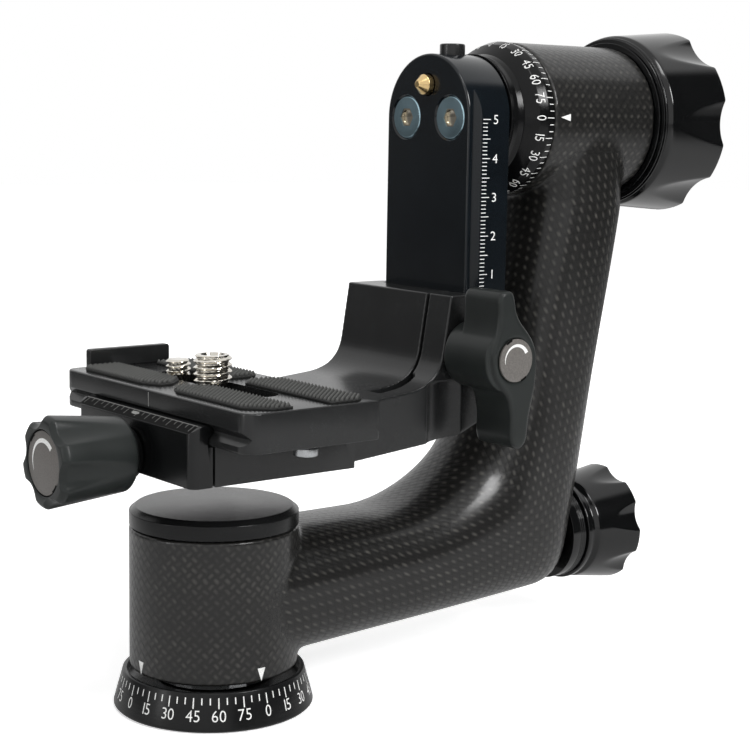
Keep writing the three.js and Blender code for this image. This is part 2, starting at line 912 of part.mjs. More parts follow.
function tiltDial() {
  const bore = hubRadius + gap;
  const profile = [
    [bore, dialStart],
    [dialStartRadius, dialStart],
    [dialNumberRadius, dialNumberX],
    [dialTickRadius, dialTickX],
    [dialBackRadius, dialEnd],
    [bore, dialEnd],
  ];
  return turnedAlongX(profile, wideSides).translate(0, 0, tiltHeight);
}

const grooveMiddle = railFront + railLip + grooveDepth;

// The straight groove in one side of the rail, which runs out where the top is round.
function railGroove(side) {
  const reach = grooveDepth + overrun;
  const outline = [
    [grooveMiddle, side * (railHalfWidth - grooveDepth)],
    [grooveMiddle + reach, side * (railHalfWidth + overrun)],
    [grooveMiddle - reach, side * (railHalfWidth + overrun)],
  ];
  const depth = tiltHeight + railHalfWidth - railBottom + overrun;
  return prism(side > 0 ? outline : outline.reverse(), depth).translate(0, 0, railBottom - overrun);
}

function rail() {
  // Edge seen from above, from front to back: half width against x.
  const edge = [
    [railFront, railHalfWidth - railEdge],
    [railFront + railEdge, railHalfWidth],
    [railBack - railEdge, railHalfWidth],
    [railBack, railHalfWidth - railEdge],
  ];
  const right = edge.map(([x, y]) => [x, -y]);
  const left = edge.map(([x, y]) => [x, y]).reverse();
  const stem = prism([...right, ...left], tiltHeight - railBottom).translate(0, 0, railBottom);
  const round = [[0, railFront], ...edge.map(([x, y]) => [y, x]), [0, railBack]];
  const head = turnedAlongX(round, wideSides).translate(0, 0, tiltHeight);
  const screwHoles = screwSides.flatMap((y) => [
    rodAlongX(railScrewShankRadius + gap, railFront - overrun, railBack + overrun),
    turnedAlongX([[0, -overrun], [railScrewHeadRadius + gap, -overrun], [railScrewHeadRadius + gap, 0],
      [railScrewShankRadius + gap, railScrewHeadHeight], [0, railScrewHeadHeight]]).translate(railFront, 0, 0),
  ].map((tool) => tool.translate(0, y, tiltHeight)));
  const pinHoleEnd = pinEnd + pinTravel + gap;
  const pinHole = rodAlongX(pinRadius + gap, railFront - overrun, pinHoleEnd).translate(0, 0, pinHeight);
  const buttonHole = rod(buttonRadius + gap, buttonBottom - buttonTravel - gap, buttonTop, smallSides);
  return cut(join(stem, head), railGroove(-1), railGroove(1), ...screwHoles, pinHole,
    buttonHole.translate(buttonX, 0, 0));
}

function railScrew() {
  const shankStart = railScrewHeadHeight;
  const body = turnedAlongX([[0, gap], [railScrewHeadRadius, gap], [railScrewShankRadius, shankStart],
    [railScrewShankRadius, railScrewLength], [0, railScrewLength]]);
  return cut(body, hexRod(railScrewSocketFlats, 0, railScrewSocketDepth).rotateY(turn / 4));
}

function safetyPin() {
  const profile = [
    [0, pinTip],
    [pinTipRadius, pinTip],
    [pinConeRadius, pinConeStart],
    [pinRadius, pinCollarStart],
    [pinRadius, pinEnd],
    [0, pinEnd],
  ];
  return turnedAlongX(profile, smallSides).translate(0, 0, pinHeight);
}

function safetyButton() {
  const profile = [
    [0, buttonBottom],
    [buttonRadius, buttonBottom],
    [buttonRadius, buttonTop - buttonEdge],
    [buttonRadius - buttonEdge, buttonTop],
    [0, buttonTop],
  ];
  return turned(profile, smallSides);
}

// Bracket
const screwHeadEnd = mountScrewHeadStart + mountScrewHeadHeight;

function bracketSide() {
  const side = new THREE.Shape();
  side.moveTo(bracketStart, platformUnderStart);
  side.lineTo(platformUnderMiddleX, platformUnderMiddle);
  side.lineTo(platformRiseX, platformUnderEnd);
  side.lineTo(bracketBack, platformUnderEnd + bracketBack - platformRiseX);
  side.lineTo(bracketBack, bracketTop);
  side.lineTo(bracketFront, bracketTop);
  side.lineTo(filletEndX, filletEndZ);
  side.quadraticCurveTo(filletCornerX, filletCornerZ, filletStartX, filletStartZ);
  side.lineTo(bracketStart, platformTop);
  return side;
}

// The space that the rail's edges need, seen from above.
function railChannel() {
  const front = railFront - gap;
  const wide = railHalfWidth + gap;
  const ridge = wide - grooveDepth;
  const half = [
    [front, wide],
    [railFront + railLip + gap, wide],
    [grooveMiddle, ridge],
    [bracketBack + gap, ridge + bracketBack + gap - grooveMiddle],
    [bracketBack + overrun, ridge + bracketBack + gap - grooveMiddle],
  ];
  const other = half.map(([x, y]) => [x, -y]).reverse();
  return prism([...other, ...half].reverse(), bracketTop).translate(0, 0, platformUnderStart - overrun);
}

function lBracket() {
  const plan = new THREE.Shape();
  const corner = jawCornerRadius;
  plan.moveTo(bracketStart, -bracketHalfWidth);
  plan.lineTo(bracketBack - corner, -bracketHalfWidth);
  plan.absarc(bracketBack - corner, -bracketHalfWidth + corner, corner, -turn / 4, 0);
  plan.absarc(bracketBack - corner, bracketHalfWidth - corner, corner, 0, turn / 4);
  plan.lineTo(bracketStart, bracketHalfWidth);
  const body = common(
    sidePrism(bracketSide(), [-bracketHalfWidth, bracketHalfWidth]),
    prism(plan, bracketTop + overrun),
  );
  const slit = block([slitEndX, railFront], [slitY - slitWidth / 2, slitY + slitWidth / 2],
    [slitFloor, bracketTop + overrun]);
  const reliefOutline = [
    [slitEndX, slitY - reliefWidth],
    [reliefEndX, slitY - reliefEndWidth],
    [reliefEndX, slitY],
    [slitEndX, slitY],
  ];
  const relief = prism(reliefOutline, bracketTop).translate(0, 0, reliefFloor);
  const scoops = [-1, 1].map((side) =>
    rod(scoopRadius, platformUnderStart - overrun, scoopTop, middleSides)
      .translate(scoopX, side * (bracketHalfWidth + scoopRadius - scoopDepth), 0));
  const bolt = turnedAlongMinusY([[0, -leverBoltEnd - gap], [leverBoltRadius + gap, -leverBoltEnd - gap],
    [leverBoltRadius + gap, leverOuter], [0, leverOuter]], smallSides).translate(leverX, 0, leverZ);
  const screwHole = rodAlongX(mountScrewShankRadius + gap, clampRear, mountScrewEnd + gap);
  const screwHoles = [-1, 1].map((side) =>
    screwHole.clone().translate(0, side * clampMountScrewY, clampScrewZ));
  return cut(body, railChannel(), slit, relief, ...scoops, bolt, ...screwHoles);
}

// Clamp: half width of the plate's edge against height, and the same for the jaws that hold it.
const notchHeight = plateTop - plateFlange - plateNotch;
const jawFace = plateHalfWidth + gap;
const ridgeTip = plateHalfWidth - plateNotch + gap;
const channelFloor = plateBottom - gap;

function clampBody() {
  const outline = [
    [clampSplit + gap, clampBottom],
    [clampRear, clampBottom],
    [clampRear, clampTop],
    [ridgeTip + clampTop - notchHeight, clampTop],
    [ridgeTip, notchHeight],
    [jawFace, notchHeight - jawFace + ridgeTip],
    [jawFace, channelFloor],
    [clampSplit + gap, channelFloor],
  ];
  const body = sidePrism(outline, [-clampHalfLength, clampHalfLength]);
  const pinHole = rodAlongX(jawPinRadius + gap, clampSplit, jawPinEnd + gap);
  const headHole = rodAlongX(mountScrewHeadRadius + gap, clampSplit, screwHeadEnd + gap);
  const shankHole = rodAlongX(mountScrewShankRadius + gap, 0, clampRear + overrun);
  const holes = [
    rodAlongX(clampStudRadius + gap, clampSplit, clampStudEnd + gap),
    ...[-1, 1].flatMap((side) => [
      pinHole.clone().translate(0, side * jawPinY, 0),
      headHole.clone().translate(0, side * clampMountScrewY, 0),
      shankHole.clone().translate(0, side * clampMountScrewY, 0),
    ]),
  ];
  return cut(body, ...holes.map((hole) => hole.translate(0, 0, clampScrewZ)));
}

function clampJaw() {
  const outline = [
    [clampFront, clampBottom],
    [clampSplit - gap, clampBottom],
    [clampSplit - gap, channelFloor],
    [-jawFace, channelFloor],
    [-jawFace, notchHeight - jawFace + ridgeTip],
    [-ridgeTip, notchHeight],
    [-ridgeTip - clampTop + notchHeight, clampTop],
    [clampFront + rulerBevel, clampTop],
    [clampFront, clampTop - rulerDrop],
  ];
  const plan = roundedBox(-clampFront, clampHalfLength, clampCorner);
  const body = common(sidePrism(outline, [-clampHalfLength, clampHalfLength]), prism(plan, clampTop + overrun));
  const start = clampFront - overrun;
  const holes = [
    rodAlongX(clampStudRadius + gap, start, clampSplit + overrun),
    ...[-1, 1].map((side) =>
      rodAlongX(jawPinRadius + gap, jawPinStart - gap, clampSplit + overrun).translate(0, side * jawPinY, 0)),
  ];
  return cut(body, ...holes.map((hole) => hole.translate(0, 0, clampScrewZ)));
}

function mountScrew() {
  const profile = [
    [0, mountScrewHeadStart],
    [mountScrewHeadRadius, mountScrewHeadStart],
    [mountScrewHeadRadius, screwHeadEnd],
    [mountScrewShankRadius, screwHeadEnd],
    [mountScrewShankRadius, mountScrewEnd],
    [0, mountScrewEnd],
  ];
  const socketFloor = screwHeadEnd - mountScrewShankRadius;
  const socket = hexRod(mountScrewSocketFlats, mountScrewHeadStart - overrun, socketFloor);
  return cut(turnedAlongX(profile, smallSides), socket.rotateY(turn / 4));
}

// The clamp's knob is built pointing along +X and turned round, so its free end is at low x.
const washerOuter = clampFront - gap - washerThickness;
const clampKnobStart = washerOuter - gap;

function clampKnob() {
  const profile = [
    [0, clampStudInKnob + gap],
    [clampStudRadius + gap, clampStudInKnob + gap],
    [clampStudRadius + gap, 0],
    [clampKnobStartRadius - clampKnobChamfer, 0],
    [clampKnobStartRadius, clampKnobChamfer],
    [clampKnobEndRadius, clampKnobLength - clampKnobChamfer],
    [clampKnobEndRadius - clampKnobChamfer, clampKnobLength],
    [clampKnobDiscRadius + gap, clampKnobLength],
    [clampKnobDiscRadius + gap, clampKnobLength - clampKnobRecess],
    [0, clampKnobLength - clampKnobRecess],
  ];
  const cutters = fluteCutters(clampFluteCount, clampFluteStart, clampFluteDistance, clampFluteRadius,
    clampKnobStartRadius, clampKnobLength);
  return cut(turnedAlongX(profile), ...cutters).rotateZ(turn / 2);
}

function clampKnobDiscPlate() {
  const back = clampKnobLength - clampKnobRecess + gap;
  const front = back + clampKnobDiscThickness - gap;
  return rodAlongX(clampKnobDiscRadius, back, front, middleSides).rotateZ(turn / 2);
}

function clampWasher() {
  const bore = clampStudRadius + gap;
  const start = washerOuter;
  const end = clampFront - gap;
  return turnedAlongX([[bore, start], [washerRadius, start], [washerRadius, end], [bore, end]]);
}

const jawGroup = grouped(
  named("clamp_jaw", clampJaw(), blackAnodised),
  named("clamp_washer", clampWasher(), blackAnodised, [0, 0, clampScrewZ]),
  grouped(
    named("clamp_knob", clampKnob(), charcoal, [clampKnobStart, 0, clampScrewZ]),
    named("clamp_knob_disc", clampKnobDiscPlate(), greyLabel, [clampKnobStart, 0, clampScrewZ]),
    named("clamp_knob_stud", rodAlongX(clampStudRadius, clampKnobStart - clampStudInKnob, clampStudEnd), steel,
      [0, 0, clampScrewZ]),
  ),
);

// Height lever
function leverBody() {
  const points = leverOutlineShares.map(([u, v]) => new THREE.Vector2(u * leverReach, v * leverReach));
  const outline = new THREE.Shape(points);
  const wings = sidePrism(outline, [-leverOuter, -leverInner], leverEdge);
  const boss = turnedAlongMinusY([[0, leverBossInner], [leverBossRadius, leverBossInner],
    [leverBossRadius, leverOuter - leverEdge], [0, leverOuter - leverEdge]], middleSides);
  const headFloor = leverOuter - leverDiscRecess - leverBoltHeadHeight - gap;
  const holes = [
    [leverDiscRadius + gap, leverOuter - leverDiscRecess, leverOuter + overrun],
    [leverBoltHeadRadius + gap, headFloor, leverOuter],
    [leverBoltRadius + gap, 0, leverOuter],
  ].map(([radius, start, end]) => turnedAlongMinusY([[0, start], [radius, start], [radius, end], [0, end]]));
  return cut(join(wings, boss), ...holes);
}

function leverDiscPlate() {
  const back = leverOuter - leverDiscRecess + gap;
  const front = back + leverDiscThickness - gap;
  return turnedAlongMinusY([[0, back], [leverDiscRadius, back], [leverDiscRadius, front], [0, front]]);
}

function leverBolt() {
  const headEnd = leverOuter - leverDiscRecess;
  const headStart = headEnd - leverBoltHeadHeight;
  return turnedAlongMinusY([[0, -leverBoltEnd], [leverBoltRadius, -leverBoltEnd], [leverBoltRadius, headStart],
    [leverBoltHeadRadius, headStart], [leverBoltHeadRadius, headEnd], [0, headEnd]], smallSides);
}

function leverWasher() {
  const start = bracketHalfWidth + gap;
  const end = leverBossInner - gap;
  const bore = leverBoltRadius + gap;
  return turnedAlongMinusY([[bore, start], [leverWasherRadius, start], [leverWasherRadius, end], [bore, end]]);
}

const leverPlace = [leverX, 0, leverZ];
const leverGroup = grouped(
  named("height_lever", leverBody(), charcoal, leverPlace),
  named("lever_disc", leverDiscPlate(), greyLabel, leverPlace),
  named("lever_bolt", leverBolt(), steel, leverPlace),
  named("lever_washer", leverWasher(), steel, leverPlace),
);

// Quick-release plate and what it carries
function quickPlate() {
  const narrow = plateHalfWidth - plateNotch;
  const flangeBottomZ = plateTop - plateFlange;
  const right = [
    [plateHalfWidth, plateBottom],
    [plateHalfWidth, notchHeight - plateNotch],
    [narrow, notchHeight],
    [plateHalfWidth, flangeBottomZ],
    [plateHalfWidth, plateTop],
  ];
  const left = right.map(([x, z]) => [-x, z]).reverse();
  const body = common(
    sidePrism([...right, ...left], [-plateHalfLength, plateHalfLength]),
    prism(roundedBox(plateHalfWidth, plateHalfLength, plateCorner, plateRearCorner), plateTop + overrun),
  );
  const slot = prism(roundedBox(slotHalfWidth, slotHalfLength, slotHalfWidth), plateTop + overrun);
  const recessOutline = roundedBox(slotRecessHalfWidth, slotRecessHalfLength, slotRecessHalfWidth);
  const recess = prism(recessOutline, slotRecessTop);
  const stopHoles = [-stopScrewY, stopScrewY].map((y) =>
    rod(stopScrewShankRadius + gap, 0, stopScrewTip + gap).translate(0, y, 0));
  return cut(body, slot, recess, ...stopHoles);
}

// Outlines of the four rubber pads, drawn for the quarter at +X, +Y.
function padOutline(outerY, nearCut, farCut) {
  return [
    [padInnerX + nearCut, padInnerY],
    [padOuterX - padCornerCut, padInnerY],
    [padOuterX, padInnerY + nearCut],
    [padOuterX, outerY - farCut],
    [padOuterX - farCut, outerY],
    [padInnerX, outerY],
    [padInnerX, padInnerY + nearCut],
  ];
}

function pad(sideX, sideY, outerY, nearCut, farCut) {
  const points = padOutline(outerY, nearCut, farCut).map(([x, y]) => [sideX * x, sideY * y]);
  const outline = sideX * sideY > 0 ? points : points.reverse();
  return prism(outline, padThickness).translate(0, 0, plateTop);
}

function twistLug() {
  const outer = plateHalfLength - lugInset;
  return block([lugStart, lugEnd], [outer - lugThickness, outer], [plateTop, plateTop + lugHeight]);
}

function stopScrew() {
  const headTop = plateBottom - gap;
  return turned([[0, stopScrewBottom], [stopScrewRadius, stopScrewBottom], [stopScrewRadius, headTop],
    [stopScrewShankRadius, headTop], [stopScrewShankRadius, stopScrewTip], [0, stopScrewTip]], smallSides);
}

function cameraScrewWasher(neck, head) {
  const top = slotRecessTop - gap;
  const bottom = top - cameraWasher;
  const bore = neck + gap;
  return turned([[bore, bottom], [head, bottom], [head, top], [bore, top]]);
}

function cameraScrew(radius, neck, head, top) {
  const headTop = slotRecessTop - gap - cameraWasher - gap;
  const threadStart = plateTop + gap;
  const profile = [
    [0, cameraScrewHeadBottom],
    [head, cameraScrewHeadBottom],
    [head, headTop],
    [neck, headTop],
    [neck, threadStart],
    [radius, threadStart],
    [radius, top - cameraScrewChamfer],
    [radius - cameraScrewChamfer, top],
    [0, top],
  ];
  return turned(profile, smallSides);
}

const plateGroup = grouped(
  named("quick_plate", quickPlate(), blackAnodised),
  named("pad_1", pad(-1, 1, padOuterY, padCut, padCornerCut), rubber),
  named("pad_2", pad(1, 1, padShortY, padCornerCut, padCornerCut), rubber),
  named("pad_3", pad(-1, -1, plateHalfLength - padThickness, padCut, padCut), rubber),
  named("pad_4", pad(1, -1, plateHalfLength - padThickness, padCornerCut, padCornerCut), rubber),
  named("twist_lug", twistLug(), blackAnodised),
  named("stop_screw_near", stopScrew(), steel, [0, -stopScrewY, 0]),
  named("stop_screw_far", stopScrew(), steel, [0, stopScrewY, 0]),
  named("camera_washer_large", cameraScrewWasher(largeScrewNeck, largeScrewHead), steel, [0, largeScrewY, 0]),
  named("camera_washer_small", cameraScrewWasher(smallScrewNeck, smallScrewHead), steel, [0, smallScrewY, 0]),
  named("camera_screw_large", cameraScrew(largeScrewRadius, largeScrewNeck, largeScrewHead, largeScrewTop),
    nickel, [0, largeScrewY, 0]),
  named("camera_screw_small", cameraScrew(smallScrewRadius, smallScrewNeck, smallScrewHead, smallScrewTop),
    nickel, [0, smallScrewY, 0]),
);

const bracketGroup = grouped(
  named("l_bracket", lBracket(), blackAnodised),
  named("clamp_body", clampBody(), blackAnodised),
  ...[["near", -1], ["far", 1]].flatMap(([end, side]) => [
    named(`clamp_screw_${end}`, mountScrew(), zinc, [0, side * clampMountScrewY, clampScrewZ]),
    named(`jaw_pin_${end}`, rodAlongX(jawPinRadius, jawPinStart, jawPinEnd), steel,
      [0, side * jawPinY, clampScrewZ]),
  ]),
  leverGroup,
  jawGroup,
  plateGroup,
);

const cradle = grouped(
  named("tilt_shaft", tiltShaft(), blackAnodised),
  named("tilt_dial", tiltDial(), blackAnodised),
  named("rail", rail(), blackAnodised),
  ...screwSides.map((y) =>
    named(`rail_screw_${y < 0 ? "right" : "left"}`, railScrew(), zinc, [railFront, y, tiltHeight])),
  named("safety_pin", safetyPin(), brass),
  named("safety_button", safetyButton(), blackAnodised, [buttonX, 0, 0]),
  bracketGroup,
);

const arm = grouped(
  named("carbon_arm", carbonArm(), carbon),
  named("base_cap", baseCap(), blackAnodised),
  named("pan_liner", panLiner(), steel),
  named("pan_bearing_lower", bearing(spindleRadius + gap, linerBore - gap, flangeTop + gap), steel),
  named("pan_bearing_upper", bearing(spindleRadius + gap, linerBore - gap, upperBearingBottom), steel),
  named("pan_sleeve", panSleeve(), blackAnodised),
  named("tilt_liner", tiltLiner(), steel),
  named("tilt_bearing_front", tiltBearing(frontBearingStart), steel),
  named("tilt_bearing_rear", tiltBearing(rearBearingStart), steel),
  panLock,
  tiltLock,
  cradle,
);

const head = grouped(tripodBase, arm);
head.name = "gimbal_head";

export default head;
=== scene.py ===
import json
import math

import bmesh
import bpy
import numpy as np
from mathutils import Matrix, Vector
from mathutils.kdtree import KDTree


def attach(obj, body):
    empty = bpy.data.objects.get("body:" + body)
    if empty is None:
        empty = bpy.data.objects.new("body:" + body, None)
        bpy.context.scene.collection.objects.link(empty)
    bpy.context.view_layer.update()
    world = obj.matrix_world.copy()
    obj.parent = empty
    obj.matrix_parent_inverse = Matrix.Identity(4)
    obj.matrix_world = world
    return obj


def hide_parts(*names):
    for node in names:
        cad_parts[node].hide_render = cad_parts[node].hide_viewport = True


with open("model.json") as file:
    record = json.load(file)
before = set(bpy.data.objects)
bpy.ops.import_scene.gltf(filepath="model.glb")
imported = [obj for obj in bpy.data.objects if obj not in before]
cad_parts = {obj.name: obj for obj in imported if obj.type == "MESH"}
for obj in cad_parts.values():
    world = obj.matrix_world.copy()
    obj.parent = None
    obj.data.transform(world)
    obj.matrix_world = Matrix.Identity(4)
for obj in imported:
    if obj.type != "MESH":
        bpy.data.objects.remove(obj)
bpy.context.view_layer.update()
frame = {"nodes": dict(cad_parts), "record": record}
scene = bpy.context.scene
MM = 0.001
TURN = 2 * math.pi
BODY = {node: body for body, nodes in frame["record"]["behaviour"]["bodies"].items() for node in nodes}

# Camera
FOCAL_PIXELS = 1699.512
PICTURE_PIXELS = 750
SENSOR = 36


def place_camera(yaw, pitch, roll, position):
    data = bpy.data.cameras.new("camera")
    data.sensor_width = SENSOR
    data.lens = FOCAL_PIXELS / PICTURE_PIXELS * SENSOR
    data.clip_start = 0.01
    data.clip_end = 30
    camera = bpy.data.objects.new("camera", data)
    scene.collection.objects.link(camera)
    scene.camera = camera
    forward = Vector((math.sin(yaw) * math.cos(pitch), math.cos(yaw) * math.cos(pitch), math.sin(pitch)))
    right = Vector((math.cos(yaw), -math.sin(yaw), 0))
    up = right.cross(forward)
    rolled_right = right * math.cos(roll) + up * math.sin(roll)
    rolled_up = up * math.cos(roll) - right * math.sin(roll)
    turned = Matrix((rolled_right, rolled_up, -forward)).transposed().to_4x4()
    camera.matrix_world = Matrix.Translation(Vector(position) * MM) @ turned


place_camera(0.67131, -0.14682, 0.01675, (-224.453, -345.433, 143.547))


# Shader nodes


def node_tree(name):
    material = bpy.data.materials.new(name)
    material.use_nodes = True
    return material, material.node_tree, material.node_tree.nodes["Principled BSDF"]


def put(socket, value):
    """Sets an input, or links it when the value is another node's output."""
    if isinstance(value, bpy.types.NodeSocket):
        socket.id_data.links.new(value, socket)
    else:
        socket.default_value = value


def fill(node, **values):
    """Fills a node's inputs and settings by name. A low line stands for the space in an input's name."""
    for key, value in values.items():
        name = key.replace("_", " ")
        if name in node.inputs:
            put(node.inputs[name], value)
        else:
            setattr(node, key, value)


def add(tree, kind, *inputs, **values):
    """A new node, with its first inputs filled in order and the others by name."""
    node = tree.nodes.new("ShaderNode" + kind)
    fill(node, **values)
    for socket, value in zip(node.inputs, inputs):
        put(socket, value)
    return node


def calc(operation, *values):
    """The result of a maths node. At least one of the values is another node's output."""
    tree = next(value.id_data for value in values if isinstance(value, bpy.types.NodeSocket))
    return add(tree, "Math", *values, operation=operation).outputs[0]


def remap(value, start, end, low, high, **settings):
    return add(value.id_data, "MapRange", value, start, end, low, high, **settings).outputs["Result"]


def scaled(colour, factor):
    return add(colour.id_data, "VectorMath", colour, operation="SCALE", Scale=factor).outputs["Vector"]


def noise(vector, scale, detail):
    return add(vector.id_data, "TexNoise", vector, Scale=scale, Detail=detail).outputs["Fac"]


def ramp(value, *stops):
    node = add(value.id_data, "ValToRGB", value)
    elements = node.color_ramp.elements
    elements[0].position, elements[0].color = stops[0][0], (*stops[0][1], 1)
    elements[1].position, elements[1].color = stops[-1][0], (*stops[-1][1], 1)
    for place, colour in stops[1:-1]:
        elements.new(place).color = (*colour, 1)
    return node.outputs["Color"]


def two_tones(value, colour, darker, lighter):
    """The colour between a darker and a lighter share of itself, as the value asks."""
    return ramp(value, (0.3, [c * darker for c in colour]), (0.7, [min(1, c * lighter) for c in colour]))


def bumped(shader, height, strength, distance):
    bump = add(shader.id_data, "Bump", Height=height, Strength=strength, Distance=distance * MM)
    put(shader.inputs["Normal"], bump.outputs["Normal"])


# World, floor and lamps

# Dark sides of the room and the floor, which only polished surfaces show.
# Each has a direction, where the dark starts and ends along it, and how dark it is.
DARK_SIDES = (((0.6, -0.8, 0.0), 0.58, 0.7, 0.94), ((-0.63, 0.77, -0.02), 0.86, 0.97, 0.8))
DARK_FLOORS = (((-0.62, 0.78, 0.0), 0.3, 1.0, 0.8), ((1.0, -0.1, 0.0), 0.33, 0.6, 0.7),
               ((0.6, -0.8, 0.0), 0.6, 1.1, 0.75))
FLOOR_SHOWN = 0.68
FLOOR_HALF = 3.0
FLOOR_DEPTH = 0.0002


def shown_rays(tree):
    """1 on rays from the camera and on rays that metal or glass reflects or lets through."""
    rays = add(tree, "LightPath").outputs
    both = calc("MAXIMUM", rays["Is Camera Ray"], rays["Is Glossy Ray"])
    return calc("MAXIMUM", both, rays["Is Transmission Ray"])


def glossy_shade(place, sides):
    """1 on most rays. On reflected ones it falls towards each of the dark sides."""
    result = 1.0
    for direction, start, end, share in sides:
        towards = add(place.id_data, "VectorMath", place, direction, operation="DOT_PRODUCT").outputs["Value"]
        fall = remap(towards, start, end, 1.0, 1 - share, interpolation_type="SMOOTHSTEP")
        result = calc("MULTIPLY", fall, result)
    glossy = add(place.id_data, "LightPath").outputs["Is Glossy Ray"]
    return calc("MULTIPLY_ADD", calc("SUBTRACT", result, 1.0), glossy, 1.0)


def make_world():
    """A white room with dark sides. It lights the object at half of what it shows."""
    world = bpy.data.worlds.new("studio")
    scene.world = world
    world.use_nodes = True
    tree = world.node_tree
    strength = calc("MULTIPLY_ADD", shown_rays(tree), 0.5, 0.5)
    lit = glossy_shade(add(tree, "TexCoord").outputs["Generated"], DARK_SIDES)
    fill(tree.nodes["Background"], Color=(1, 1, 1, 1), Strength=calc("MULTIPLY", strength, lit))


def make_floor():
    """A white floor that keeps the object's shadow."""
    mesh = bpy.data.meshes.new("floor")
    far = FLOOR_HALF
    mesh.from_pydata([(-far, -far, 0), (far, -far, 0), (far, far, 0), (-far, far, 0)], [], [(0, 1, 2, 3)])
    floor = bpy.data.objects.new("floor", mesh)
    floor.location.z = -FLOOR_DEPTH
    scene.collection.objects.link(floor)
    material, tree, shader = node_tree("floor")
    cloud = add(tree, "TexNoise", Scale=9.0, Detail=2.0).outputs["Fac"]
    colour = ramp(cloud, (0.3, (0.92, 0.92, 0.92)), (0.7, (0.94, 0.94, 0.94)))
    glossy = add(tree, "LightPath").outputs["Is Glossy Ray"]
    dimmed = calc("MULTIPLY_ADD", glossy, FLOOR_SHOWN - 1, 1.0)
    shade = glossy_shade(add(tree, "TexCoord").outputs["Object"], DARK_FLOORS)
    seen = calc("MULTIPLY", shade, dimmed)
    glow = calc("MULTIPLY", shown_rays(tree), calc("MULTIPLY_ADD", glossy, -0.35, 0.55))
    fill(shader, Base_Color=scaled(colour, seen), Roughness=0.9, Specular_IOR_Level=0.1,
         Emission_Color=(1, 1, 1, 1), Emission_Strength=calc("MULTIPLY", glow, seen))
    mesh.materials.append(material)


def softbox(name, position, target, width, height, radiance, mirrored=True):
    light = bpy.data.lights.new(name, "AREA")
    light.shape = "RECTANGLE"
    light.size = width
    light.size_y = height
    light.energy = radiance * math.pi * width * height
    lamp = bpy.data.objects.new(name, light)
    scene.collection.objects.link(lamp)
    lamp.location = position
    lamp.rotation_euler = (Vector(target) - Vector(position)).to_track_quat("-Z", "Y").to_euler()
    lamp.visible_camera = False
    lamp.visible_glossy = mirrored


make_world()
make_floor()
MIDDLE = (0.05, 0, 0.09)
softbox("top_softbox", (-0.22, -0.36, 0.95), MIDDLE, 0.24, 0.3, 9.0)
softbox("left_softbox", (-0.95, 0.1, 0.35), MIDDLE, 0.12, 0.6, 5.0)
softbox("bend_softbox", (0.25, -0.98, 0.73), (0.08, -0.01, 0.05), 0.42, 0.36, 19.0)
softbox("front_softbox", (0.3, -1.1, 0.45), MIDDLE, 0.5, 0.7, 1.8, mirrored=False)
softbox("back_softbox", (0.5, 0.8, 0.5), MIDDLE, 0.5, 0.3, 3.0, mirrored=False)
scene.view_settings.view_transform = "Standard"


# Materials
GRAIN = 0.15
TURNING_PITCH = 0.9
TOW = 1.84


def metal(name, colour, roughness, level, metallic=0.0, depth=0.012, spread=0.12, lathe=None):
    """Anodised or plated metal: a fine grain, slow changes of colour and gloss, and a lathe's marks."""
    material, tree, shader = node_tree(name)
    place = add(tree, "TexCoord").outputs["Object"]
    cloud = noise(place, 90.0, 3.0)
    grain = noise(place, 1 / (GRAIN * MM), 2.0)
    gloss = remap(calc("ADD", cloud, grain), 0.7, 1.3, roughness * 0.88, roughness * 1.12)
    fill(shader, Base_Color=two_tones(cloud, colour, 1 - spread, 1 + spread), Roughness=gloss,
         Metallic=metallic, Specular_IOR_Level=level)
    height = grain
    if lathe:
        marks = add(tree, "TexWave", place, wave_type="RINGS", rings_direction=lathe, Distortion=0.6,
                    Scale=1 / (TURNING_PITCH * MM))
        height = calc("ADD", grain, calc("MULTIPLY", marks.outputs["Fac"], 0.6))
    bumped(shader, height, 0.5, depth)
    return material


